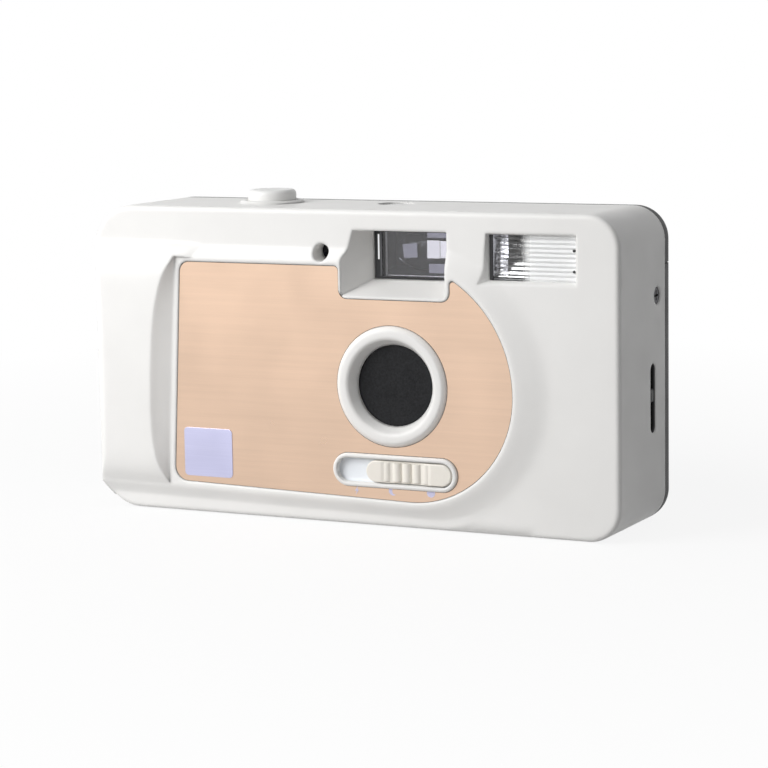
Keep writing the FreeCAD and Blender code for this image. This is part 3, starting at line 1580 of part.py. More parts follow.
def rear_cover():
    low = door_top + seam_gap
    outside = rear_prism(0, seam).common(block(left - 1, right + 1, seam, back + 1, low, body_height + 1))
    hollow = rear_prism(rear_wall, seam - 1).common(block(left, right, seam - 1, back, low + 0.8,
                                                          body_height))
    boss_half = eyepiece_width / 2 + 1.4
    boss = block(eyepiece_x - boss_half, eyepiece_x + boss_half, seam, inner_back + 0.2, low + 0.4,
                 body_height - rear_wall + 0.2)
    opening_half = 9.2
    additions = [boss]
    tools = [
        eyepiece_opening(seam - 1, inner_back, 0.4),
        eyepiece_opening(inner_back, back + 1, 0),
        block(spool_x - opening_half, spool_x + opening_half, seam, back + 1, wheel_low - 0.4,
              wheel_top + 0.4),
    ]
    for x, z in screw_places()["rear"]:
        additions.append(barrel(x, z, screw_post_radius, seam, inner_back + 0.2))
        tools.append(barrel(x, z, screw_shank_radius, seam - 1, back + 1))
        tools.append(barrel(x, z, screw_head_radius + screw_head_gap, back - 1.2, back + 1))
    return cut_all(fuse_all([outside.cut(hollow)] + additions), tools)


# Battery and its hatch

def battery():
    shoulder = battery_top - battery_pole
    can = post(battery_x, battery_y, battery_radius, battery_low, shoulder)
    pole = post(battery_x, battery_y, battery_pole_radius, shoulder - 0.2, battery_top)
    return can.fuse(pole).removeSplitter()


def battery_contact():
    plate = post(battery_x, battery_y, contact_radius, battery_top, battery_top + contact_thickness)
    rise = post(battery_x, battery_y, 1.2, battery_top + contact_thickness - 0.1, sleeve_top)
    return plate.fuse(rise).removeSplitter()


def battery_door():
    y0 = front + hatch_front + hatch_gap
    y1 = front + hatch_back - hatch_gap
    skin = body_prism(0, front, seam).cut(body_prism(wall, front - 1, seam + 1))
    lid = skin.common(hatch_bounds(hatch_gap))
    hinge_side = block(hatch_pin_x, hatch_right + 1, front, seam, -1, wall + 1)
    rounding = barrel(hatch_pin_x, hatch_barrel, hatch_barrel, y0, y1)
    pins = barrel(hatch_pin_x, hatch_barrel, hatch_pin, front + hatch_front - hatch_pin_reach,
                  front + hatch_back + hatch_pin_reach)
    upper = block(hatch_pin_x - 0.8, hatch_pin_x + 2, front, seam, 1.6, wall + 1)
    contact_seat = post(battery_x, battery_y, hatch_seat_radius, wall - 0.4, wall + hatch_seat)
    return fuse_all([lid.cut(hinge_side).cut(upper), rounding, pins, contact_seat])


def battery_spring():
    low = wall + hatch_seat
    base = post(battery_x, battery_y, hatch_seat_radius, low, low + 0.4)
    tip = post(battery_x, battery_y, 1.6, low + 0.3, battery_low)
    return base.fuse(tip).removeSplitter()


# Screws

def pan_head(x, y, z, direction, shank_length):
    middle = Vector(x, y, z)
    head = Part.makeCylinder(screw_head_radius, screw_head, middle, direction)
    shank = Part.makeCylinder(screw_shank_radius, shank_length, middle, direction)
    across = Vector(0, 0, 1) if abs(direction.z) < 0.5 else Vector(1, 0, 0)
    other = direction.cross(across)
    cross_cut = []
    for a, b in ((across, other), (other, across)):
        corner = middle - a * (screw_slot_length / 2) - b * (screw_slot_width / 2) - direction * 0.1
        edge_a = corner + a * screw_slot_length
        edge_ab = edge_a + b * screw_slot_width
        edge_b = corner + b * screw_slot_width
        face = Part.Face(Part.makePolygon([corner, edge_a, edge_ab, edge_b, corner]))
        cross_cut.append(face.extrude(direction * (screw_slot_depth + 0.1)))
    return cut_all(head.fuse(shank).removeSplitter(), cross_cut)


def case_screws():
    places = screw_places()
    x, y, z = places["side"]
    screws = [pan_head(right - 0.2, y, z, Vector(-1, 0, 0), side_screw_length)]
    for x, z in places["rear"]:
        screws.append(pan_head(x, back - 0.4, z, Vector(0, -1, 0), rear_screw_length))
    for x, y in places["bottom"]:
        screws.append(pan_head(x, y, 0.2, Vector(0, 0, 1), bottom_screw_length))
    return Part.makeCompound(screws)


def transport_pieces():
    spool_turn, idler_turn, sprocket_turn = mesh_turns()
    return {
        "advance_wheel": advance_wheel(),
        "take_up_spool": take_up_spool(),
        "spool_gear": gear(spool_x, spool_y, gear_teeth, spool_turn, shaft_radius),
        "idler_gear": gear(idler_x, idler_y, idler_teeth, idler_turn, 1.2 + running),
        "sprocket_gear": gear(sprocket_x, sprocket_y, gear_teeth, sprocket_turn, shaft_radius),
        "sprocket_wheel": sprocket_wheel(),
        "counter_finger": counter_finger(),
        "counter_dial": counter_dial(),
    }


def build():
    os.makedirs("parts", exist_ok=True)
    pieces = {
        "front_cover": front_cover(),
        "faceplate": faceplate(),
        "slide_switch": slide_switch(),
        "switch_clip": switch_clip(),
        "lens_cover": lens_cover(),
        "viewfinder_window": viewfinder_window(),
        "viewfinder_tunnel": viewfinder_tunnel(),
        "viewfinder_eyepiece": viewfinder_eyepiece(),
        "flash_window": flash_window(),
        "flash_reflector": flash_reflector(),
        "flash_tube": flash_tube(),
        "light_sensor": light_sensor(),
        "circuit_board": circuit_board(),
        "flash_capacitor": flash_capacitor(),
        "shutter_button": shutter_button(),
        "release_lever": release_lever(),
        "shutter_blade": shutter_blade(),
        "counter_window": counter_window(),
        "lens_barrel": lens_barrel(),
        "front_lens": lens_element(lens_front_radius, lens_seat, lens_stop, 1.2, 0.3),
        "rear_lens": lens_element(lens_rear_radius, rear_lens_seat, flange_back, 0.3, 0.7),
        "lens_retainer": lens_retainer(),
        "film_chassis": film_chassis(),
        "rewind_crank": rewind_crank(),
        "crank_handle": crank_handle(),
        "rewind_fork": rewind_fork(),
        "rewind_button": rewind_button(),
        "back_door": back_door(),
        "hinge_pin": hinge_pin(),
        "pressure_plate": pressure_plate(),
        "pressure_spring": pressure_spring(),
        "door_latch": door_latch(),
        "rear_cover": rear_cover(),
        "battery": battery(),
        "battery_contact": battery_contact(),
        "battery_door": battery_door(),
        "battery_spring": battery_spring(),
        "case_screws": case_screws(),
    }
    pieces.update(transport_pieces())
    for name, shape in pieces.items():
        shape.exportStep("parts/" + name + ".step")
        print(name, shape.isValid(), len(shape.Solids), round(shape.Volume, 1))


build()
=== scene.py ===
import math

import bmesh
import bpy
from mathutils import Matrix, Vector


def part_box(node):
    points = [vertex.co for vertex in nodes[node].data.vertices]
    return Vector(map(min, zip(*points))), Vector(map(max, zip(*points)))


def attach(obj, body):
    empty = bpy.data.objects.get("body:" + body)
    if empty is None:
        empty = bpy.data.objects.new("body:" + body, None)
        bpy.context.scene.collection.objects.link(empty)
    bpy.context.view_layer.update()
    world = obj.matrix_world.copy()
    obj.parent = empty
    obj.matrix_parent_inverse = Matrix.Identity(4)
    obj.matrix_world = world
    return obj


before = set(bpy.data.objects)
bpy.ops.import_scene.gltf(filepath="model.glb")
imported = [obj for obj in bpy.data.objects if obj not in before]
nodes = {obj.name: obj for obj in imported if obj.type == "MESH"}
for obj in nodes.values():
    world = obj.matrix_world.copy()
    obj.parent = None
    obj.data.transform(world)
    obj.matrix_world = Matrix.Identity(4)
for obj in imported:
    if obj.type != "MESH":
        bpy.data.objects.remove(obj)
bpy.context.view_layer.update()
print("frame loaded:", len(nodes), "nodes")

mm = 0.001
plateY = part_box("faceplate")[0].y / mm  # the outer face of the metal plate, in millimetres


# Small tools for shader graphs

def fill(tree, node, sockets):
    # each socket gets a link from another node, or a fixed value, where a colour gets its alpha
    for key, value in sockets.items():
        socket = node.inputs[key]
        if isinstance(value, bpy.types.NodeSocket):
            tree.links.new(value, socket)
        elif socket.type == "RGBA":
            socket.default_value = (*value, 1)
        else:
            socket.default_value = value


def addNode(tree, kind, sockets, **settings):
    node = tree.nodes.new("ShaderNode" + kind)
    for key, value in settings.items():
        setattr(node, key, value)
    fill(tree, node, sockets)
    return node


def newFinish(name):
    material = bpy.data.materials.new(name)
    material.use_nodes = True
    return material, material.node_tree, material.node_tree.nodes["Principled BSDF"]


def splitCoordinates(tree, kind="Object"):
    # X, Y and Z of the point's place in the frame, in metres, or of its normal
    coords = addNode(tree, "TexCoord", {})
    return addNode(tree, "SeparateXYZ", {"Vector": coords.outputs[kind]}).outputs


def noise(tree, perMetre, detail, stretch=(1, 1, 1), rough=0.55, turn=(0, 0, 0)):
    place = addNode(tree, "TexCoord", {}).outputs["Object"]
    mapping = addNode(tree, "Mapping", {"Vector": place, "Scale": stretch, "Rotation": turn})
    sockets = {"Vector": mapping.outputs["Vector"], "Scale": perMetre, "Detail": detail, "Roughness": rough}
    return addNode(tree, "TexNoise", sockets).outputs["Fac"]


def spread(tree, value, low, high, fromLow=0.3, fromHigh=0.7):
    # runs from low to high while the value crosses its own two bounds, and stays level outside them
    sockets = {"Value": value, "From Min": fromLow, "From Max": fromHigh, "To Min": low, "To Max": high}
    return addNode(tree, "MapRange", sockets).outputs["Result"]


def calculate(tree, operation, first, second=0.0):
    return addNode(tree, "Math", {0: first, 1: second}, operation=operation).outputs[0]


def blendColours(tree, share, first, second):
    # the first colour where the share is nought, the second where it is one
    mix = addNode(tree, "Mix", {"Factor": share, "A": first, "B": second}, data_type="RGBA")
    return mix.outputs["Result"]


def bump(tree, height, strength, depth, onto=None):
    # the normal that a height of this depth gives, in millimetres, on top of another if there is one
    sockets = {"Height": height, "Strength": strength, "Distance": depth * mm}
    if onto is not None:
        sockets["Normal"] = onto
    return addNode(tree, "Bump", sockets).outputs["Normal"]


scratchLook = {"lines": {"detail": 1, "stretch": (0.1, 1, 1), "rough": 0.5}, "wide": 0.004,
               "patches": {"perMetre": 90, "detail": 2}, "patchBounds": (0.52, 0.66)}


def scratches(tree, perMetre, turn):
    # long thin lines in sparse patches, one where a scratch runs
    lines = noise(tree, perMetre, turn=turn, **scratchLook["lines"])
    fromMiddle = calculate(tree, "ABSOLUTE", calculate(tree, "SUBTRACT", lines, 0.5))
    line = spread(tree, fromMiddle, 1, 0, 0, scratchLook["wide"])
    patches = spread(tree, noise(tree, **scratchLook["patches"]), 0, 1, *scratchLook["patchBounds"])
    return calculate(tree, "MULTIPLY", line, patches)


def insideBox(tree, low, high, fade=0.03):
    # one between two corners, nought outside them, in millimetres
    along = splitCoordinates(tree)
    share = None
    for axis in range(3):
        for edge, inward in ((low[axis], fade), (high[axis], -fade)):
            step = spread(tree, along[axis], 0, 1, (edge - inward) * mm, (edge + inward) * mm)
            share = step if share is None else calculate(tree, "MULTIPLY", share, step)
    return share


def nearArc(tree, arc):
    # one between two distances from a centre on the front, within a box
    along = splitCoordinates(tree)
    squares = []
    for axis, middle in zip((0, 2), arc["centre"]):
        offset = calculate(tree, "SUBTRACT", along[axis], middle * mm)
        squares.append(calculate(tree, "POWER", offset, 2))
    away = calculate(tree, "POWER", calculate(tree, "ADD", *squares), 0.5)
    start = spread(tree, away, 0, 1, arc["from"] * mm, (arc["from"] + arc["fade"]) * mm)
    end = spread(tree, away, 1, 0, (arc["to"] - arc["fade"]) * mm, arc["to"] * mm)
    band = calculate(tree, "MULTIPLY", start, end)
    return calculate(tree, "MULTIPLY", band, insideBox(tree, arc["low"], arc["high"], arc["boxFade"]))


def roundedEdges(tree, radius, wider):
    # normals as on an edge of this radius, and of a larger one near an arc, in millimetres
    if radius == 0:
        return None
    reach = radius * mm
    if wider:
        reach = spread(tree, nearArc(tree, wider), radius * mm, wider["radius"] * mm, 0, 1)
    return addNode(tree, "Bevel", {"Radius": reach}, samples=8).outputs["Normal"]


def layColour(material, share, colour):
    # a second colour over a finish, where the share is one; it lays real colours and painted shade
    tree = material.node_tree
    shader = tree.nodes["Principled BSDF"]
    under = shader.inputs["Base Color"].links[0].from_socket
    fill(tree, shader, {"Base Color": blendColours(tree, share, under, colour)})


def paintBox(material, low, high, colour):
    layColour(material, insideBox(material.node_tree, low, high), colour)


def paintRim(material, look):
    # painted shade on the side of a flat part, where its own normal turns away from the axis
    tree = material.node_tree
    facing = calculate(tree, "ABSOLUTE", splitCoordinates(tree, "Normal")[look["axis"]])
    layColour(material, spread(tree, facing, 1, 0, *look["facing"]), look["colour"])


def clearToMilky(material, look):
    # a window that is clear at its left end and milky at its right
    tree = material.node_tree
    across = splitCoordinates(tree)[0]
    bounds = (look["from"] * mm, look["to"] * mm)
    fill(tree, tree.nodes["Principled BSDF"], {
        "Transmission Weight": spread(tree, across, *look["through"], *bounds),
        "Roughness": spread(tree, across, *look["rough"], *bounds),
    })


# Makers of finishes, each with what its kind shares: patterns per metre, depths in millimetres

plasticLook = {"cloud": {"perMetre": 55, "detail": 3}, "patches": {"perMetre": 240, "detail": 4},
               "scratches": {"perMetre": 260, "turn": (0.3, 0.2, 0.5)}, "scratchDull": 0.12,
               "sink": 0.12, "sinkDepth": 0.06, "grainDetail": 2, "grainDepth": 0.04}


def mouldedPlastic(name, pale, shade, grain=5200, grainStrength=0.05, rough=(0.36, 0.48), edge=0.0,
                   wider=None):
    material, tree, shader = newFinish(name)
    cloud = noise(tree, **plasticLook["cloud"])
    fine = noise(tree, grain, plasticLook["grainDetail"])
    patches = spread(tree, noise(tree, **plasticLook["patches"]), *rough)
    marks = scratches(tree, **plasticLook["scratches"])
    worn = calculate(tree, "MULTIPLY", marks, plasticLook["scratchDull"])
    edges = roundedEdges(tree, edge, wider)
    # moulded walls sink a little, under their grain
    walls = bump(tree, cloud, plasticLook["sink"], plasticLook["sinkDepth"], edges)
    fill(tree, shader, {
        "Base Color": blendColours(tree, spread(tree, cloud, 0, 1), pale, shade),
        "Roughness": calculate(tree, "ADD", patches, worn),
        "Normal": bump(tree, fine, grainStrength, plasticLook["grainDepth"], walls),
    })
    return material


metalLook = {"fine": {"detail": 4, "rough": 0.7}, "fineBounds": (0.2, 0.8), "fineShare": 0.65,
             "broad": {"detail": 2, "rough": 0.5}, "broadScale": 0.12, "broadShare": 0.35,
             "lineDepth": 0.02, "patches": {"perMetre": 60, "detail": 2},
             "scratches": {"perMetre": 320, "turn": (0.1, 0.9, 0.2)}, "scratchDull": 0.1}


def brushedMetal(name, pale, shade, lines=9000, along=(0.012, 1, 1), rough=(0.26, 0.4), depth=0.12,
                 brushing=0.0):
    material, tree, shader = newFinish(name)
    fineLines = noise(tree, lines, stretch=along, **metalLook["fine"])
    broadLines = noise(tree, lines * metalLook["broadScale"], stretch=along, **metalLook["broad"])
    fine = spread(tree, fineLines, 0, metalLook["fineShare"], *metalLook["fineBounds"])
    broad = spread(tree, broadLines, 0, metalLook["broadShare"])
    streaks = calculate(tree, "ADD", fine, broad)
    patches = spread(tree, noise(tree, **metalLook["patches"]), *rough)
    marks = scratches(tree, **metalLook["scratches"])
    worn = calculate(tree, "MULTIPLY", marks, metalLook["scratchDull"])
    fill(tree, shader, {
        "Base Color": blendColours(tree, streaks, pale, shade),
        "Metallic": 1.0,
        "Roughness": calculate(tree, "ADD", patches, worn),
        "Anisotropic": brushing,
        "Normal": bump(tree, streaks, depth, metalLook["lineDepth"]),
    })
    return material


paintLook = {"fine": {"detail": 3, "rough": 0.65}, "speckBounds": (0.35, 0.65), "grainDepth": 0.05,
             "patches": {"perMetre": 300, "detail": 3}}


def mattPaint(name, pale, shade, speckle=7000, rough=(0.5, 0.68), depth=0.35, gloss=0.5):
    material, tree, shader = newFinish(name)
    fine = noise(tree, speckle, **paintLook["fine"])
    specks = spread(tree, fine, 0, 1, *paintLook["speckBounds"])
    fill(tree, shader, {
        "Base Color": blendColours(tree, specks, pale, shade),
        "Roughness": spread(tree, noise(tree, **paintLook["patches"]), *rough),
        "Specular IOR Level": gloss,
        "Normal": bump(tree, fine, depth, paintLook["grainDepth"]),
    })
    return material


clearLook = {"cloud": {"perMetre": 120, "detail": 2}, "shade": 0.96,
             "patches": {"perMetre": 400, "detail": 3}, "rough": (0.015, 0.05), "sink": 0.04,
             "sinkDepth": 0.04}


def clearPlastic(name, tint, bend=1.49, coat=0.0, coatTint=(1, 1, 1)):
    material, tree, shader = newFinish(name)
    cloud = noise(tree, **clearLook["cloud"])
    shade = [part * clearLook["shade"] for part in tint]
    fill(tree, shader, {
        "Base Color": blendColours(tree, cloud, tint, shade),
        "Transmission Weight": 1.0,
        "IOR": bend,
        "Roughness": spread(tree, noise(tree, **clearLook["patches"]), *clearLook["rough"]),
        "Coat Weight": coat,
        "Coat Tint": coatTint,
        "Normal": bump(tree, cloud, clearLook["sink"], clearLook["sinkDepth"]),
    })
    return material


# Finishes

# where the cover falls away round its raised island, its edge is softer
islandEdge = {"centre": (11.0, 28.7), "from": 30.3, "to": 42.0, "fade": 1.5, "radius": 4.5,
              "low": (14.0, -19.0, -1.0), "high": (62.0, -13.0, 49.0), "boxFade": 1.0}

plastics = {
    "coverWhite": {"pale": (0.90, 0.89, 0.87), "shade": (0.865, 0.855, 0.835), "edge": 1.1,
                   "wider": islandEdge},
    "buttonWhite": {"pale": (0.89, 0.885, 0.865), "shade": (0.855, 0.85, 0.835), "rough": (0.3, 0.42)},
    "knobCream": {"pale": (0.92, 0.88, 0.81), "shade": (0.89, 0.85, 0.775), "rough": (0.3, 0.42),
                  "edge": 0.25},
    "chassisBlack": {"pale": (0.016, 0.016, 0.017), "shade": (0.028, 0.028, 0.03), "grain": 2600,
                     "grainStrength": 0.25, "rough": (0.48, 0.62)},
    "backBlack": {"pale": (0.024, 0.024, 0.026), "shade": (0.036, 0.036, 0.038), "grain": 3200,
                  "grainStrength": 0.5, "rough": (0.5, 0.64)},
    "trimBlack": {"pale": (0.014, 0.014, 0.015), "shade": (0.024, 0.024, 0.025), "grain": 4200,
                  "grainStrength": 0.12, "rough": (0.32, 0.44)},
    "wheelBlack": {"pale": (0.018, 0.018, 0.02), "shade": (0.03, 0.03, 0.032), "grain": 3600,
                   "grainStrength": 0.3, "rough": (0.42, 0.55)},
    "gearCream": {"pale": (0.72, 0.70, 0.62), "shade": (0.64, 0.61, 0.53), "rough": (0.34, 0.46)},
    "dialWhite": {"pale": (0.82, 0.82, 0.80), "shade": (0.74, 0.74, 0.73), "rough": (0.4, 0.5)},
    "boardGreen": {"pale": (0.02, 0.13, 0.055), "shade": (0.045, 0.2, 0.09), "grain": 1400,
                   "grainStrength": 0.2, "rough": (0.3, 0.42)},
}
metals = {
    "plateMetal": {"pale": (0.79, 0.578, 0.436), "shade": (0.70, 0.51, 0.385), "brushing": 0.45},
    "springSteel": {"pale": (0.68, 0.68, 0.67), "shade": (0.5, 0.5, 0.5), "lines": 7000,
                    "along": (0.02, 1, 1)},
    "pressedSteel": {"pale": (0.12, 0.12, 0.125), "shade": (0.06, 0.06, 0.065), "lines": 6000,
                     "along": (1, 1, 0.02)},
    "screwBlack": {"pale": (0.10, 0.10, 0.105), "shade": (0.035, 0.035, 0.04), "lines": 5200,
                   "along": (1, 1, 1), "rough": (0.3, 0.5)},
    "mirrorMetal": {"pale": (0.95, 0.95, 0.95), "shade": (0.84, 0.84, 0.85), "lines": 2200,
                    "along": (0.05, 1, 1), "rough": (0.06, 0.16), "depth": 0.1},
    "troughMetal": {"pale": (0.96, 0.96, 0.96), "shade": (0.88, 0.88, 0.89), "lines": 1800,
                    "along": (0.05, 1, 1), "rough": (0.26, 0.38), "depth": 0.1},
    # grey mirror for the sheets that stand for dim glow and a ghost reflection in the finder: painted
    # reflections
    "stripGrey": {"pale": (0.30, 0.30, 0.34), "shade": (0.24, 0.24, 0.28), "lines": 2200,
                  "along": (0.05, 1, 1), "rough": (0.1, 0.2), "depth": 0.1},
    "foilMirror": {"pale": (0.84, 0.84, 0.90), "shade": (0.64, 0.64, 0.70), "lines": 1600,
                   "along": (1, 1, 1), "rough": (0.22, 0.34), "depth": 0.3},
    "foilLilac": {"pale": (0.56, 0.56, 0.74), "shade": (0.48, 0.48, 0.66), "lines": 4200,
                  "along": (0.02, 1, 1), "rough": (0.32, 0.44), "depth": 0.06},
    "cellJacket": {"pale": (0.30, 0.31, 0.33), "shade": (0.2, 0.21, 0.23), "lines": 2600,
                   "along": (1, 1, 0.05), "rough": (0.25, 0.36)},
    "copperWire": {"pale": (0.72, 0.33, 0.14), "shade": (0.5, 0.2, 0.08), "lines": 5200,
                   "along": (1, 1, 0.05)},
}
paints = {
    "discPaint": {"pale": (0.003, 0.0032, 0.0038), "shade": (0.011, 0.0115, 0.0135), "speckle": 2600,
                  "depth": 0.5, "gloss": 0.2},
    "bladeBlack": {"pale": (0.012, 0.012, 0.013), "shade": (0.03, 0.03, 0.032), "rough": (0.38, 0.5),
                   "depth": 0.15, "gloss": 0.3},
    "eyeBlack": {"pale": (0.006, 0.006, 0.009), "shade": (0.014, 0.012, 0.02), "speckle": 900,
                 "rough": (0.06, 0.14), "depth": 0.03},
    "canSleeve": {"pale": (0.012, 0.013, 0.02), "shade": (0.03, 0.032, 0.045), "speckle": 1600,
                  "rough": (0.18, 0.3), "depth": 0.06},
    "inkLilac": {"pale": (0.60, 0.585, 0.80), "shade": (0.68, 0.66, 0.85), "speckle": 6000,
                 "rough": (0.42, 0.55), "depth": 0.1},
    "foamBlack": {"pale": (0.012, 0.012, 0.012), "shade": (0.03, 0.03, 0.03), "speckle": 1500,
                  "rough": (0.85, 0.95), "depth": 0.9},
    "discCeramic": {"pale": (0.55, 0.22, 0.06), "shade": (0.42, 0.15, 0.035), "speckle": 2400,
                    "rough": (0.25, 0.4), "depth": 0.1},
    "dialInk": {"pale": (0.02, 0.02, 0.022), "shade": (0.05, 0.05, 0.055), "speckle": 5000,
                "rough": (0.5, 0.6), "depth": 0.1},
}
clears = {
    "windowClear": {"tint": (0.95, 0.97, 0.98)},
    "finderClear": {"tint": (0.94, 0.935, 0.985), "bend": 1.62},
    "finderLensClear": {"tint": (0.93, 0.92, 0.98), "bend": 1.25},
    "flashClear": {"tint": (0.98, 0.985, 0.985)},
    "tubeGlass": {"tint": (0.99, 0.98, 0.95)},
    "lensGlass": {"tint": (0.86, 0.93, 0.97), "coat": 0.6, "coatTint": (0.7, 0.62, 0.95)},
}
finishes = {}
for maker, family in ((mouldedPlastic, plastics), (brushedMetal, metals), (mattPaint, paints),
                      (clearPlastic, clears)):
    for finishName, finishLook in family.items():
        finishes[finishName] = maker(finishName, **finishLook)

# painted shade: the plate's side made dark, standing for the shaded gap round the plate
plateRimShade = {"axis": 1, "facing": (0.6, 0.9), "colour": (0.20, 0.17, 0.15)}
paintRim(finishes["plateMetal"], plateRimShade)
flashMilk = {"from": 39.4, "to": 41.6, "through": (1, 0.12), "rough": (0.03, 0.3)}
clearToMilky(finishes["flashClear"], flashMilk)

# parts of a node in a second colour, between two corners in millimetres, and painted shade inside the latch
# slot
secondColoursAndShade = {
    # painted shade: the white walls inside the latch slot made near black
    "latchSlotShade": {"on": "coverWhite", "low": (59.0, 2.45, 19.8), "high": (60.88, 5.45, 34.4),
                  "colour": (0.02, 0.02, 0.021)},
    "switchFloor": {"on": "coverWhite", "low": (-3.0, -14.95, 8.0), "high": (26.2, -13.0, 15.7),
                    "colour": (0.85, 0.885, 0.925)},
    "cellFoot": {"on": "cellJacket", "low": (-60, -12, 6.0), "high": (-40, 3, 12.5),
                 "colour": (0.02, 0.02, 0.022)},
    "cellHead": {"on": "cellJacket", "low": (-60, -12, 44.5), "high": (-40, 3, 50.0),
                 "colour": (0.55, 0.30, 0.12)},
    "capacitorStripe": {"on": "canSleeve", "low": (-60, 0, 7), "high": (-45, 2.2, 35),
                        "colour": (0.45, 0.46, 0.48)},
}
for patch in secondColoursAndShade.values():
    paintBox(finishes[patch["on"]], patch["low"], patch["high"], patch["colour"])
print("finishes ready:", len(finishes))


# Which finish each CAD node wears

wornBy = {
    "coverWhite": ("front_cover", "battery_door"),
    "plateMetal": ("faceplate",),
    "buttonWhite": ("shutter_button",),
    "knobCream": ("slide_switch",),
    "discPaint": ("lens_cover",),
    "finderClear": ("viewfinder_window",),
    "windowClear": ("viewfinder_eyepiece", "counter_window"),
    "flashClear": ("flash_window",),
    "troughMetal": ("flash_reflector",),
    "tubeGlass": ("flash_tube",),
    "eyeBlack": ("light_sensor",),
    "lensGlass": ("front_lens", "rear_lens"),
    "bladeBlack": ("shutter_blade", "lens_retainer", "door_latch"),
    "chassisBlack": ("film_chassis", "viewfinder_tunnel", "take_up_spool"),
    "trimBlack": ("lens_barrel", "sprocket_wheel", "rewind_crank", "rewind_fork", "rewind_button"),
    "wheelBlack": ("advance_wheel", "crank_handle"),
    "backBlack": ("back_door", "rear_cover"),
    "gearCream": ("spool_gear", "idler_gear", "sprocket_gear", "counter_finger"),
    "dialWhite": ("counter_dial",),
    "springSteel": ("switch_clip", "release_lever", "hinge_pin", "pressure_spring", "battery_contact",
                    "battery_spring"),
    "pressedSteel": ("pressure_plate",),
    "screwBlack": ("case_screws",),
    "boardGreen": ("circuit_board",),
    "canSleeve": ("flash_capacitor",),
    "cellJacket": ("battery",),
}
for finishName, nodeNames in wornBy.items():
    for nodeName in nodeNames:
        mesh = nodes[nodeName].data
        mesh.materials.clear()
        mesh.materials.append(finishes[finishName])
        for polygon in mesh.polygons:
            polygon.material_index = 0
print("CAD nodes dressed:", sum(len(nodeNames) for nodeNames in wornBy.values()))


# Small tools for pieces, all in millimetres

def addPiece(name, bm, body, finish, smooth=True):
    mesh = bpy.data.meshes.new(name)
    bmesh.ops.recalc_face_normals(bm, faces=bm.faces)
    bm.to_mesh(mesh)
    bm.free()
    piece = bpy.data.objects.new(name, mesh)
    bpy.context.scene.collection.objects.link(piece)
    mesh.materials.append(finishes[finish])
    for polygon in mesh.polygons:
        polygon.use_smooth = smooth
    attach(piece, body)
    return piece


edgeLook = {"segments": 2, "softFrom": 35, "sharpFrom": 50}  # the angles in degrees


def softenEdges(piece, width):
    bevel = piece.modifiers.new("edges", "BEVEL")
    bevel.width = width * mm
    bevel.segments = edgeLook["segments"]
    bevel.limit_method = "ANGLE"
    bevel.angle_limit = math.radians(edgeLook["softFrom"])
    bevel.harden_normals = True


def boxPiece(name, low, high, body, finish, edge):
    # a small block between two corners, its edges rounded
    bm = bmesh.new()
    bmesh.ops.create_cube(bm, size=1)
    for vert in bm.verts:
        vert.co = Vector([(low[axis] if vert.co[axis] < 0 else high[axis]) * mm for axis in range(3)])
    softenEdges(addPiece(name, bm, body, finish), edge)


def joinRings(bm, rings):
    # faces between closed rings of points that follow each other
    steps = len(rings[0])
    for first, second in zip(rings, rings[1:]):
        for step in range(steps):
            after = (step + 1) % steps
            bm.faces.new((first[step], first[after], second[after], second[step]))


def turnedPiece(name, profile, centre, axis, body, finish, steps):
    # a form turned about an axis, its profile as pairs of distance along the axis and radius
    along = Vector([1.0 if index == axis else 0.0 for index in range(3)])
    across = Vector([1.0 if index == (axis + 1) % 3 else 0.0 for index in range(3)])
    up = along.cross(across)
    bm = bmesh.new()
    rings = []
    for reach, radius in profile:
        ring = []
        for step in range(steps):
            angle = 2 * math.pi * step / steps
            outward = across * math.cos(angle) + up * math.sin(angle)
            ring.append(bm.verts.new((Vector(centre) + along * reach + outward * radius) * mm))
        rings.append(ring)
    joinRings(bm, rings)
    bm.faces.new(rings[0])
    bm.faces.new(rings[-1])
    piece = addPiece(name, bm, body, finish)
    sharp = piece.modifiers.new("edges", "EDGE_SPLIT")
    sharp.split_angle = math.radians(edgeLook["sharpFrom"])


def frontOutline(points, yFront, yBack):
    # a flat form with this outline on the front
    bm = bmesh.new()
    near, far = [[bm.verts.new((x * mm, y * mm, z * mm)) for x, z in points] for y in (yFront, yBack)]
    bm.faces.new(near)
    bm.faces.new(list(reversed(far)))
    joinRings(bm, [near, far])
    return bm


def stripBetween(outer, inner, yFront, yBack):
    # a flat form between two lines of as many points, so that a hollow outline keeps its faces
    bm = bmesh.new()
    rows = []
    for line, y in ((outer, yFront), (inner, yFront), (inner, yBack), (outer, yBack)):
        rows.append([bm.verts.new((x * mm, y * mm, z * mm)) for x, z in line])
    for step in range(len(outer) - 1):
        for first, second in zip(rows, rows[1:] + rows[:1]):
            bm.faces.new((first[step], first[step + 1], second[step + 1], second[step]))
    return bm


def roundedRectangle(left, right, low, high, radius, steps=8):
    points = []
    corners = ((right - radius, high - radius, 0), (left + radius, high - radius, 90),
               (left + radius, low + radius, 180), (right - radius, low + radius, 270))
    for centreX, centreZ, start in corners:
        for step in range(steps + 1):
            angle = math.radians(start + 90 * step / steps)
            points.append((centreX + radius * math.cos(angle), centreZ + radius * math.sin(angle)))
    return points


def arcPoints(centre, radius, start=0, end=360, steps=28):
    turn = (end - start) / steps
    count = steps if end - start == 360 else steps + 1
    points = []
    for step in range(count):
        angle = math.radians(start + turn * step)
        points.append((centre[0] + radius * math.cos(angle), centre[1] + radius * math.sin(angle)))
    return points


# Plain foil plaque on the faceplate

plaque = {"left": -38.9, "right": -27.1, "low": 8.1, "high": 18.6, "corner": 0.9, "raise": 0.14,
          "sunk": 0.02, "edge": 0.05}
plaqueOutline = roundedRectangle(plaque["left"], plaque["right"], plaque["low"], plaque["high"],
                                 plaque["corner"])
plaqueBm = frontOutline(plaqueOutline, plateY - plaque["raise"], plateY + plaque["sunk"])
foilPlaque = addPiece("foilPlaque", plaqueBm, "camera_body", "foilLilac", False)
softenEdges(foilPlaque, plaque["edge"])
print("plaque ready")


# Three plain signs below the switch

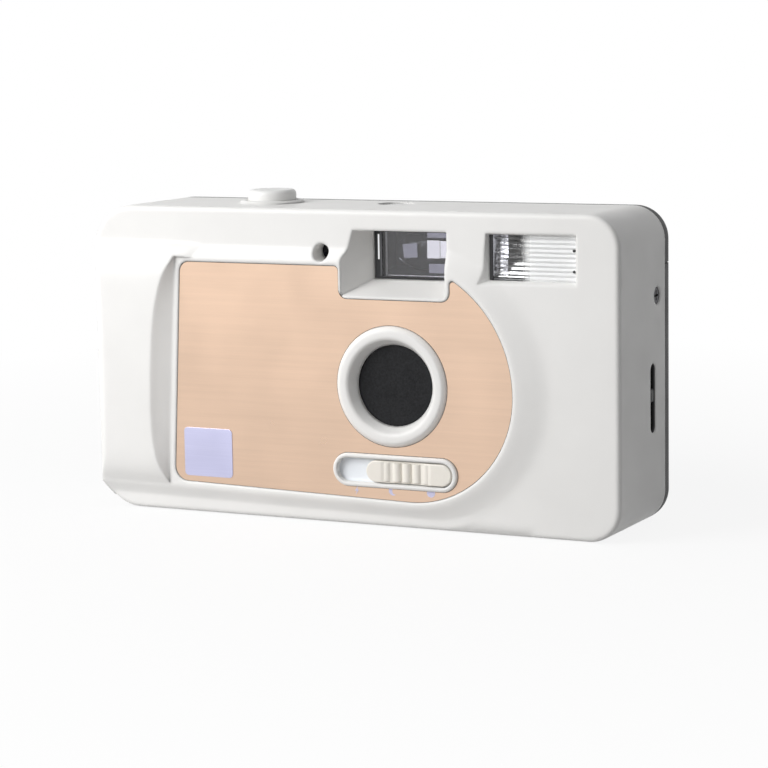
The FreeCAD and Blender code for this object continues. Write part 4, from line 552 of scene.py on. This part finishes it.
signs = {"raise": 0.03, "sunk": 0.02, "radius": 0.95}
disc = {"centre": (19.76, 8.01)}
crescent = {"centre": (11.03, 7.85), "outer": (50, 310), "inner": (68, 292), "innerShift": 0.55,
            "innerSize": 0.78, "steps": 24}
bolt = {"centre": (2.64, 7.5), "size": 0.85,
        "left": [(0.35, 1.15), (-0.55, -0.15), (-0.05, -0.15), (-0.35, -1.15)],
        "right": [(0.35, 1.15), (0.05, 0.2), (0.55, 0.2), (-0.35, -1.15)]}
signDepths = (plateY - signs["raise"], plateY + signs["sunk"])


def signPiece(name, bm):
    addPiece(name, bm, "camera_body", "inkLilac", False)


def crescentBm():
    # between an arc and a smaller one that is set to its right
    outer = arcPoints(crescent["centre"], signs["radius"], *crescent["outer"], crescent["steps"])
    innerCentre = (crescent["centre"][0] + crescent["innerShift"], crescent["centre"][1])
    inner = arcPoints(innerCentre, signs["radius"] * crescent["innerSize"], *crescent["inner"],
                      crescent["steps"])
    return stripBetween(outer, inner, *signDepths)


def boltBm():
    # between its two jagged sides
    centreX, centreZ = bolt["centre"]
    left, right = [[(centreX + x * bolt["size"], centreZ + z * bolt["size"]) for x, z in bolt[side]]
                   for side in ("left", "right")]
    return stripBetween(left, right, *signDepths)


signPiece("discSign", frontOutline(arcPoints(disc["centre"], signs["radius"]), *signDepths))
signPiece("crescentSign", crescentBm())
signPiece("boltSign", boltBm())
print("signs ready")


# What stands behind the finder's window

finder = {"left": 4.25, "right": 23.45, "low": 51.35, "high": 61.45, "corner": 0.5, "innerCorner": 0.4}
finderRings = {
    "finderFrame": {"front": -8.64, "back": -8.5, "leftBorder": 1.7, "border": 0.35},
    "finderMask": {"front": -0.4, "back": 0.2, "leftBorder": 3.6, "border": 2.2},
}
outer = roundedRectangle(finder["left"], finder["right"], finder["low"], finder["high"],
                         finder["corner"])
for ringName, ring in finderRings.items():
    inner = roundedRectangle(finder["left"] + ring["leftBorder"], finder["right"] - ring["border"],
                             finder["low"] + ring["border"], finder["high"] - ring["border"],
                             finder["innerCorner"])
    ringBm = stripBetween(outer + outer[:1], inner + inner[:1], ring["front"], ring["back"])
    addPiece(ringName, ringBm, "camera_body", "bladeBlack", False)

# the mirror strips here stand for a glint on the frame's left bar and the bright patch seen through the
# finder: painted highlights
finderGlints = {
    "finderLeftGlint": {"low": (4.95, -8.72, 55.3), "high": (5.35, -8.6, 60.6), "finish": "mirrorMetal"},
    "finderBorder": {"low": (5.45, -8.7, 51.8), "high": (5.9, -8.6, 61.0), "finish": "pressedSteel"},
    "finderRail": {"low": (6.0, -6.9, 51.8), "high": (6.35, -6.5, 61.0), "finish": "springSteel"},
    "finderBrightPatch": {"low": (14.55, -4.6, 55.4), "high": (17.5, -4.3, 59.2), "finish": "mirrorMetal"},
    "finderBrightPatchEdge": {"low": (17.56, -4.6, 55.5), "high": (19.3, -4.3, 59.1), "finish": "mirrorMetal"},
    # grey strips that stand for dim glow seen through the finder: painted light
    "finderGlowHigh": {"low": (14.6, -4.6, 59.7), "high": (19.3, -4.3, 61.1), "finish": "stripGrey"},
    "finderGlowLow": {"low": (14.9, -4.6, 52.3), "high": (19.3, -4.3, 54.3), "finish": "stripGrey"},
    "finderSill": {"low": (6.4, -6.6, 51.75), "high": (23.0, -6.2, 51.95), "finish": "springSteel"},
}
glintEdge = 0.06
for glintName, glint in finderGlints.items():
    boxPiece(glintName, glint["low"], glint["high"], "camera_body", glint["finish"],
             glintEdge)

# a dim grey sheet that stands for a ghost reflection in the finder: painted reflection
finderGhostReflection = {"corners": [(9.5, 55.4), (12.6, 55.6), (12.5, 58.6), (9.2, 58.3)], "front": -5.2,
               "back": -5.0}
ghostBm = frontOutline(finderGhostReflection["corners"], finderGhostReflection["front"], finderGhostReflection["back"])
addPiece("finderGhostReflection", ghostBm, "camera_body", "stripGrey", False)

finderLens = {"centre": (13.4, 57.0), "reach": (6.4, 4.2), "y": -3.6, "rim": 0.02, "bulge": 0.9,
              "rings": 10, "steps": 48}


def finderLensBm():
    # an oval lens whose two bulging faces meet at a thin rim, from its front's middle round to its back's
    bm = bmesh.new()
    centreX, centreZ = finderLens["centre"]
    reachX, reachZ = finderLens["reach"]
    rings = []
    for side in (-1, 1):
        for ringIndex in range(finderLens["rings"] + 1):
            share = ringIndex / finderLens["rings"]
            reach = share if side < 0 else 1 - share
            depth = finderLens["y"] + side * (finderLens["rim"] + finderLens["bulge"] * (1 - reach ** 2))
            points = []
            for step in range(finderLens["steps"]):
                angle = 2 * math.pi * step / finderLens["steps"]
                x = centreX + reachX * reach * math.cos(angle)
                z = centreZ + reachZ * reach * math.sin(angle)
                points.append(bm.verts.new((x * mm, depth * mm, z * mm)))
            rings.append(points)
    joinRings(bm, rings)
    bmesh.ops.remove_doubles(bm, verts=bm.verts, dist=0.001 * mm)
    return bm


addPiece("finderLens", finderLensBm(), "camera_body", "finderLensClear")
print("finder ready")


# What stands behind the flash window

flashEdge = {"low": (32.65, -13.62, 52.25), "high": (33.4, -13.4, 61.45), "edge": 0.05}
boxPiece("flashEdge", flashEdge["low"], flashEdge["high"], "camera_body", "bladeBlack",
         flashEdge["edge"])

flashPins = {"x": 51.0, "y": -13.62, "heights": (54.4, 58.6),
             "profile": [(0, 0.21), (0.06, 0.3), (0.3, 0.3)], "steps": 16}
for index, pinZ in enumerate(flashPins["heights"]):
    turnedPiece("flashPin%d" % index, flashPins["profile"], (flashPins["x"], flashPins["y"], pinZ), 1,
                "camera_body", "trimBlack", flashPins["steps"])

# a sheet of few facets, with waves of a size in millimetres and a turn in radians for each row and column
foil = {"left": 32.3, "right": 35.9, "low": 52.6, "high": 61.2, "y": -11.2, "across": 3, "up": 6,
        "thick": 0.05}
foilSway = {"size": 0.45, "row": 2.7, "column": 4.1}
foilLift = {"size": 0.4, "row": 3.9, "column": -2.3}
foilFold = {"size": 0.22, "row": 5.3, "column": 3.1, "both": 0.7}


def foilPoint(row, column):
    # the sheet's rim stays straight, and its inner points move along it
    inner = 0 < row < foil["up"] and 0 < column < foil["across"]
    sway = foilSway["size"] * math.sin(row * foilSway["row"] + column * foilSway["column"]) if inner else 0
    lift = foilLift["size"] * math.cos(row * foilLift["row"] + column * foilLift["column"]) if inner else 0
    fold = math.sin(row * foilFold["row"] + column * foilFold["column"] + row * column * foilFold["both"])
    x = foil["left"] + (foil["right"] - foil["left"]) * column / foil["across"] + sway
    z = foil["low"] + (foil["high"] - foil["low"]) * row / foil["up"] + lift
    return x * mm, (foil["y"] + foilFold["size"] * fold) * mm, z * mm


foilBm = bmesh.new()
foilRows = [[foilBm.verts.new(foilPoint(row, column)) for column in range(foil["across"] + 1)]
            for row in range(foil["up"] + 1)]
for lower, upper in zip(foilRows, foilRows[1:]):
    for column in range(foil["across"]):
        foilBm.faces.new((lower[column], lower[column + 1], upper[column + 1]))
        foilBm.faces.new((lower[column], upper[column + 1], upper[column]))
flashFoil = addPiece("flashFoil", foilBm, "camera_body", "foilMirror", False)
flashFoil.modifiers.new("sheet", "SOLIDIFY").thickness = foil["thick"] * mm
print("flash ready")


# Plain numbers and marks on the counter's dial

dialLow, dialHigh = [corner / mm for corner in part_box("counter_dial")]
dial = {"centre": ((dialLow + dialHigh) / 2)[:2], "top": dialHigh.z, "teeth": 24, "lift": 0.03}
dialNumbers = {"every": 4, "ring": 4.8, "size": 2.7}
dialTicks = {"ring": 5.4, "long": 0.9, "wide": 0.18}


def dialAngle(tooth):
    return 2 * math.pi * tooth / dial["teeth"]


def outwardOf(angle):
    return Vector((math.cos(angle), math.sin(angle), 0))


def dialNumber(tooth):
    # the number is made as text, turned into a mesh and laid on the dial
    words = bpy.data.curves.new("dialNumber%d" % tooth, "FONT")
    words.body = str(tooth)
    words.size = dialNumbers["size"] * mm
    words.extrude = dial["lift"] * mm
    words.align_x = "CENTER"
    words.align_y = "CENTER"
    draft = bpy.data.objects.new("dialNumberDraft%d" % tooth, words)
    bpy.context.scene.collection.objects.link(draft)
    bpy.context.view_layer.update()
    mesh = bpy.data.meshes.new_from_object(draft.evaluated_get(bpy.context.evaluated_depsgraph_get()))
    bpy.data.objects.remove(draft)
    angle = dialAngle(tooth)
    spot = Vector((*dial["centre"], dial["top"])) + outwardOf(angle) * dialNumbers["ring"]
    mesh.transform(Matrix.Translation(spot * mm) @ Matrix.Rotation(angle, 4, "Z"))
    mesh.materials.clear()
    mesh.materials.append(finishes["dialInk"])
    number = bpy.data.objects.new("dialNumber%d" % tooth, mesh)
    bpy.context.scene.collection.objects.link(number)
    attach(number, "counter")


def dialTick(bm, tooth):
    # a thin bar that points outward
    outward = outwardOf(dialAngle(tooth))
    across = Vector((-outward.y, outward.x, 0))
    corners = []
    for height in (0.0, dial["lift"]):
        for reach, side in ((-1, -1), (1, -1), (1, 1), (-1, 1)):
            spot = Vector((*dial["centre"], dial["top"] + height))
            spot += outward * (dialTicks["ring"] + reach * dialTicks["long"] / 2)
            spot += across * (side * dialTicks["wide"] / 2)
            corners.append(bm.verts.new(spot * mm))
    bm.faces.new(corners[4:])
    bm.faces.new(list(reversed(corners[:4])))
    joinRings(bm, [corners[:4], corners[4:]])


tickBm = bmesh.new()
for tooth in range(dial["teeth"]):
    if tooth % dialNumbers["every"] == 0:
        dialNumber(tooth)
    else:
        dialTick(tickBm, tooth)
addPiece("dialTicks", tickBm, "counter", "dialInk", False)
print("counter dial marked")


# Small parts soldered to the board

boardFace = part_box("circuit_board")[0].y / mm  # the board's front, in millimetres
chip = {"left": -30.5, "low": 51.0, "wide": 4.0, "high": 6.4, "front": 1.2, "back": 0.1, "edge": 0.12}
boxPiece("timerChip", (chip["left"], boardFace - chip["front"], chip["low"]),
         (chip["left"] + chip["wide"], boardFace - chip["back"], chip["low"] + chip["high"]), "camera_body",
         "trimBlack", chip["edge"])

legs = {"aSide": 5, "pitch": 1.1, "first": 1.0, "out": 2.45, "up": 0.35, "size": (0.9, 0.7, 0.4),
        "edge": 0.06}
legBm = bmesh.new()
for index in range(legs["aSide"]):
    for side in (-1, 1):
        legSpot = Vector((chip["left"] + chip["wide"] / 2 + side * legs["out"], boardFace - legs["up"],
                          chip["low"] + legs["first"] + index * legs["pitch"]))
        legSize = Matrix.Diagonal((*[part * mm for part in legs["size"]], 1))
        bmesh.ops.create_cube(legBm, size=1, matrix=Matrix.Translation(legSpot * mm) @ legSize)
softenEdges(addPiece("timerChipLegs", legBm, "camera_body", "springSteel"), legs["edge"])

coil = {"turns": 15, "wire": 0.36, "radius": 1.05, "lead": 0.2, "centre": (-20.4, -11.35, 53.4),
        "steps": 28}
coilFlange = {"offset": 0.8, "profile": [(0, 1.05), (0.08, 1.2), (0.5, 1.2), (0.58, 1.05)]}
coilProfile = [(-coil["lead"], coil["radius"])]
for quarter in range(coil["turns"] * 4):
    swell = abs(math.sin(math.pi * quarter / 4)) * coil["wire"] / 3
    coilProfile.append((quarter * coil["wire"] / 4, coil["radius"] + swell))
turnedPiece("flashCoil", coilProfile, coil["centre"], 0, "camera_body", "copperWire",
            coil["steps"])
for index, offset in enumerate((-coilFlange["offset"], coil["turns"] * coil["wire"])):
    flangeCentre = Vector(coil["centre"]) + Vector((offset, 0, 0))
    turnedPiece("coilFlange%d" % index, coilFlange["profile"], flangeCentre, 0, "camera_body", "gearCream",
                coil["steps"])

discCapacitor = {"places": {"A": (-10.6, 57.6), "B": (-10.6, 52.0), "C": (-34.0, 57.4)}, "steps": 24,
                 "profile": [(-1.9, 0.8), (-1.75, 1.35), (-1.2, 1.6), (-0.65, 1.35), (-0.5, 0.8)]}
for letter, (discX, discZ) in discCapacitor["places"].items():
    turnedPiece("discCapacitor" + letter, discCapacitor["profile"], (discX, boardFace, discZ), 1,
                "camera_body", "discCeramic", discCapacitor["steps"])

solder = {"columns": 9, "rows": 2, "left": -34.5, "low": 47.8, "pitchX": 3.4, "pitchZ": 12.1,
          "radius": 0.55, "flat": 0.5, "around": 12, "along": 8}
solderBm = bmesh.new()
for column in range(solder["columns"]):
    for row in range(solder["rows"]):
        solderSpot = Vector((solder["left"] + column * solder["pitchX"], boardFace,
                             solder["low"] + row * solder["pitchZ"]))
        flatten = Matrix.Diagonal((1, solder["flat"], 1, 1))
        bmesh.ops.create_uvsphere(solderBm, u_segments=solder["around"], v_segments=solder["along"],
                                  radius=solder["radius"] * mm,
                                  matrix=Matrix.Translation(solderSpot * mm) @ flatten)
addPiece("solderJoints", solderBm, "camera_body", "springSteel")
print("board parts ready")


# Foam strip inside the door, beside the hinge

doorSeal = {"low": (-57.0, 14.35, 9.5), "high": (-54.4, 15.1, 45.5), "edge": 0.25}
boxPiece("doorSeal", doorSeal["low"], doorSeal["high"], "back_door", "foamBlack",
         doorSeal["edge"])
print("door seal ready")


# Camera, at the photograph's place before the cover's front: in metres, but lens and sensor in millimetres

view = {"place": (0.24897, -0.47929, 0.10559), "right": (0.8949, 0.4459, -0.0166),
        "up": (-0.0475, 0.1323, 0.9901), "forward": (-0.4436, 0.8853, -0.1396), "lens": 122.6, "sensor": 36,
        "near": 0.01, "far": 20}
plateRise = 1.1  # how far the plate stands before the cover's front, in millimetres
coverFront = (plateY + plateRise) * mm
cameraData = bpy.data.cameras.new("studioCamera")
cameraData.lens = view["lens"]
cameraData.sensor_width = view["sensor"]
cameraData.clip_start = view["near"]
cameraData.clip_end = view["far"]
studioCamera = bpy.data.objects.new("studioCamera", cameraData)
bpy.context.scene.collection.objects.link(studioCamera)
axes = Matrix((view["right"], view["up"], [-part for part in view["forward"]])).transposed().to_4x4()
studioCamera.matrix_world = Matrix.Translation(Vector(view["place"]) + Vector((0, coverFront, 0))) @ axes
bpy.context.scene.camera = studioCamera


# Lamps, both square and aimed at the middle of the camera body, in metres and watts

lampTarget = Vector((0, 0, 0.03))
lamps = {
    "key": {"place": (-0.33, -0.40, 0.30), "size": 0.4, "power": 3.25},
    "top": {"place": (0.1, 0.2, 1.2), "size": 1.0, "power": 0.6},
}
for lampName, lamp in lamps.items():
    lampData = bpy.data.lights.new(lampName, "AREA")
    lampData.shape = "SQUARE"
    lampData.size = lamp["size"]
    lampData.energy = lamp["power"]
    lampObject = bpy.data.objects.new(lampName, lampData)
    bpy.context.scene.collection.objects.link(lampObject)
    lampObject.location = lamp["place"]
    lampObject.rotation_euler = (lampTarget - Vector(lamp["place"])).to_track_quat("-Z", "Y").to_euler()


# World and floor: white to the eye, in reflections and through glass, and dimmer as light on the object

studio = {"ambient": 0.24, "ambientTint": (0.97, 0.98, 1.0)}
floor = {"half": 3, "drop": 0.0002, "rough": 0.7, "lit": (0.42, 0.42, 0.42), "seen": (0.93, 0.93, 0.93),
         "glow": (0.88, 1.0), "glowReach": (0.08, 0.3)}


def seenShare(tree, paths):
    # one for rays from the eye, mirrored rays and rays through glass
    seen = calculate(tree, "MAXIMUM", paths.outputs["Is Camera Ray"], paths.outputs["Is Glossy Ray"])
    return calculate(tree, "MAXIMUM", seen, paths.outputs["Is Transmission Ray"])


world = bpy.data.worlds.new("studioWorld")
bpy.context.scene.world = world
world.use_nodes = True
worldTree = world.node_tree
worldTree.nodes.clear()
worldPaths = addNode(worldTree, "LightPath", {})
ambient = addNode(worldTree, "Background", {"Color": studio["ambientTint"], "Strength": studio["ambient"]})
shown = addNode(worldTree, "Background", {"Color": (1, 1, 1), "Strength": 1.0})
worldMix = addNode(worldTree, "MixShader", {0: seenShare(worldTree, worldPaths), 1: ambient.outputs[0],
                                            2: shown.outputs[0]})
addNode(worldTree, "OutputWorld", {"Surface": worldMix.outputs[0]})

floorBm = bmesh.new()
floorCorners = [floorBm.verts.new((x * floor["half"], y * floor["half"], 0))
                for x, y in ((-1, -1), (1, -1), (1, 1), (-1, 1))]
floorBm.faces.new(floorCorners)
floorMesh = bpy.data.meshes.new("studioFloor")
floorBm.to_mesh(floorMesh)
floorBm.free()
studioFloor = bpy.data.objects.new("studioFloor", floorMesh)
bpy.context.scene.collection.objects.link(studioFloor)
studioFloor.location.z = -floor["drop"]

floorWhite, floorTree, floorShader = newFinish("floorWhite")
floorPaths = addNode(floorTree, "LightPath", {})
floorColour = blendColours(floorTree, floorPaths.outputs["Is Camera Ray"], floor["lit"], floor["seen"])
fill(floorTree, floorShader, {"Base Color": floorColour, "Roughness": floor["rough"]})
floorPlace = addNode(floorTree, "TexCoord", {})
floorReach = addNode(floorTree, "VectorMath", {0: floorPlace.outputs["Object"]}, operation="LENGTH")
floorFade = spread(floorTree, floorReach.outputs["Value"], *floor["glow"], *floor["glowReach"])
floorShare = calculate(floorTree, "MULTIPLY", seenShare(floorTree, floorPaths), floorFade)
floorGlow = addNode(floorTree, "Emission", {"Color": (1, 1, 1)})
floorMix = addNode(floorTree, "MixShader", {0: floorShare, 1: floorShader.outputs[0],
                                            2: floorGlow.outputs[0]})
fill(floorTree, floorTree.nodes["Material Output"], {"Surface": floorMix.outputs[0]})
floorMesh.materials.append(floorWhite)

bpy.context.scene.view_settings.view_transform = "Standard"
print("camera, lamps and floor ready")
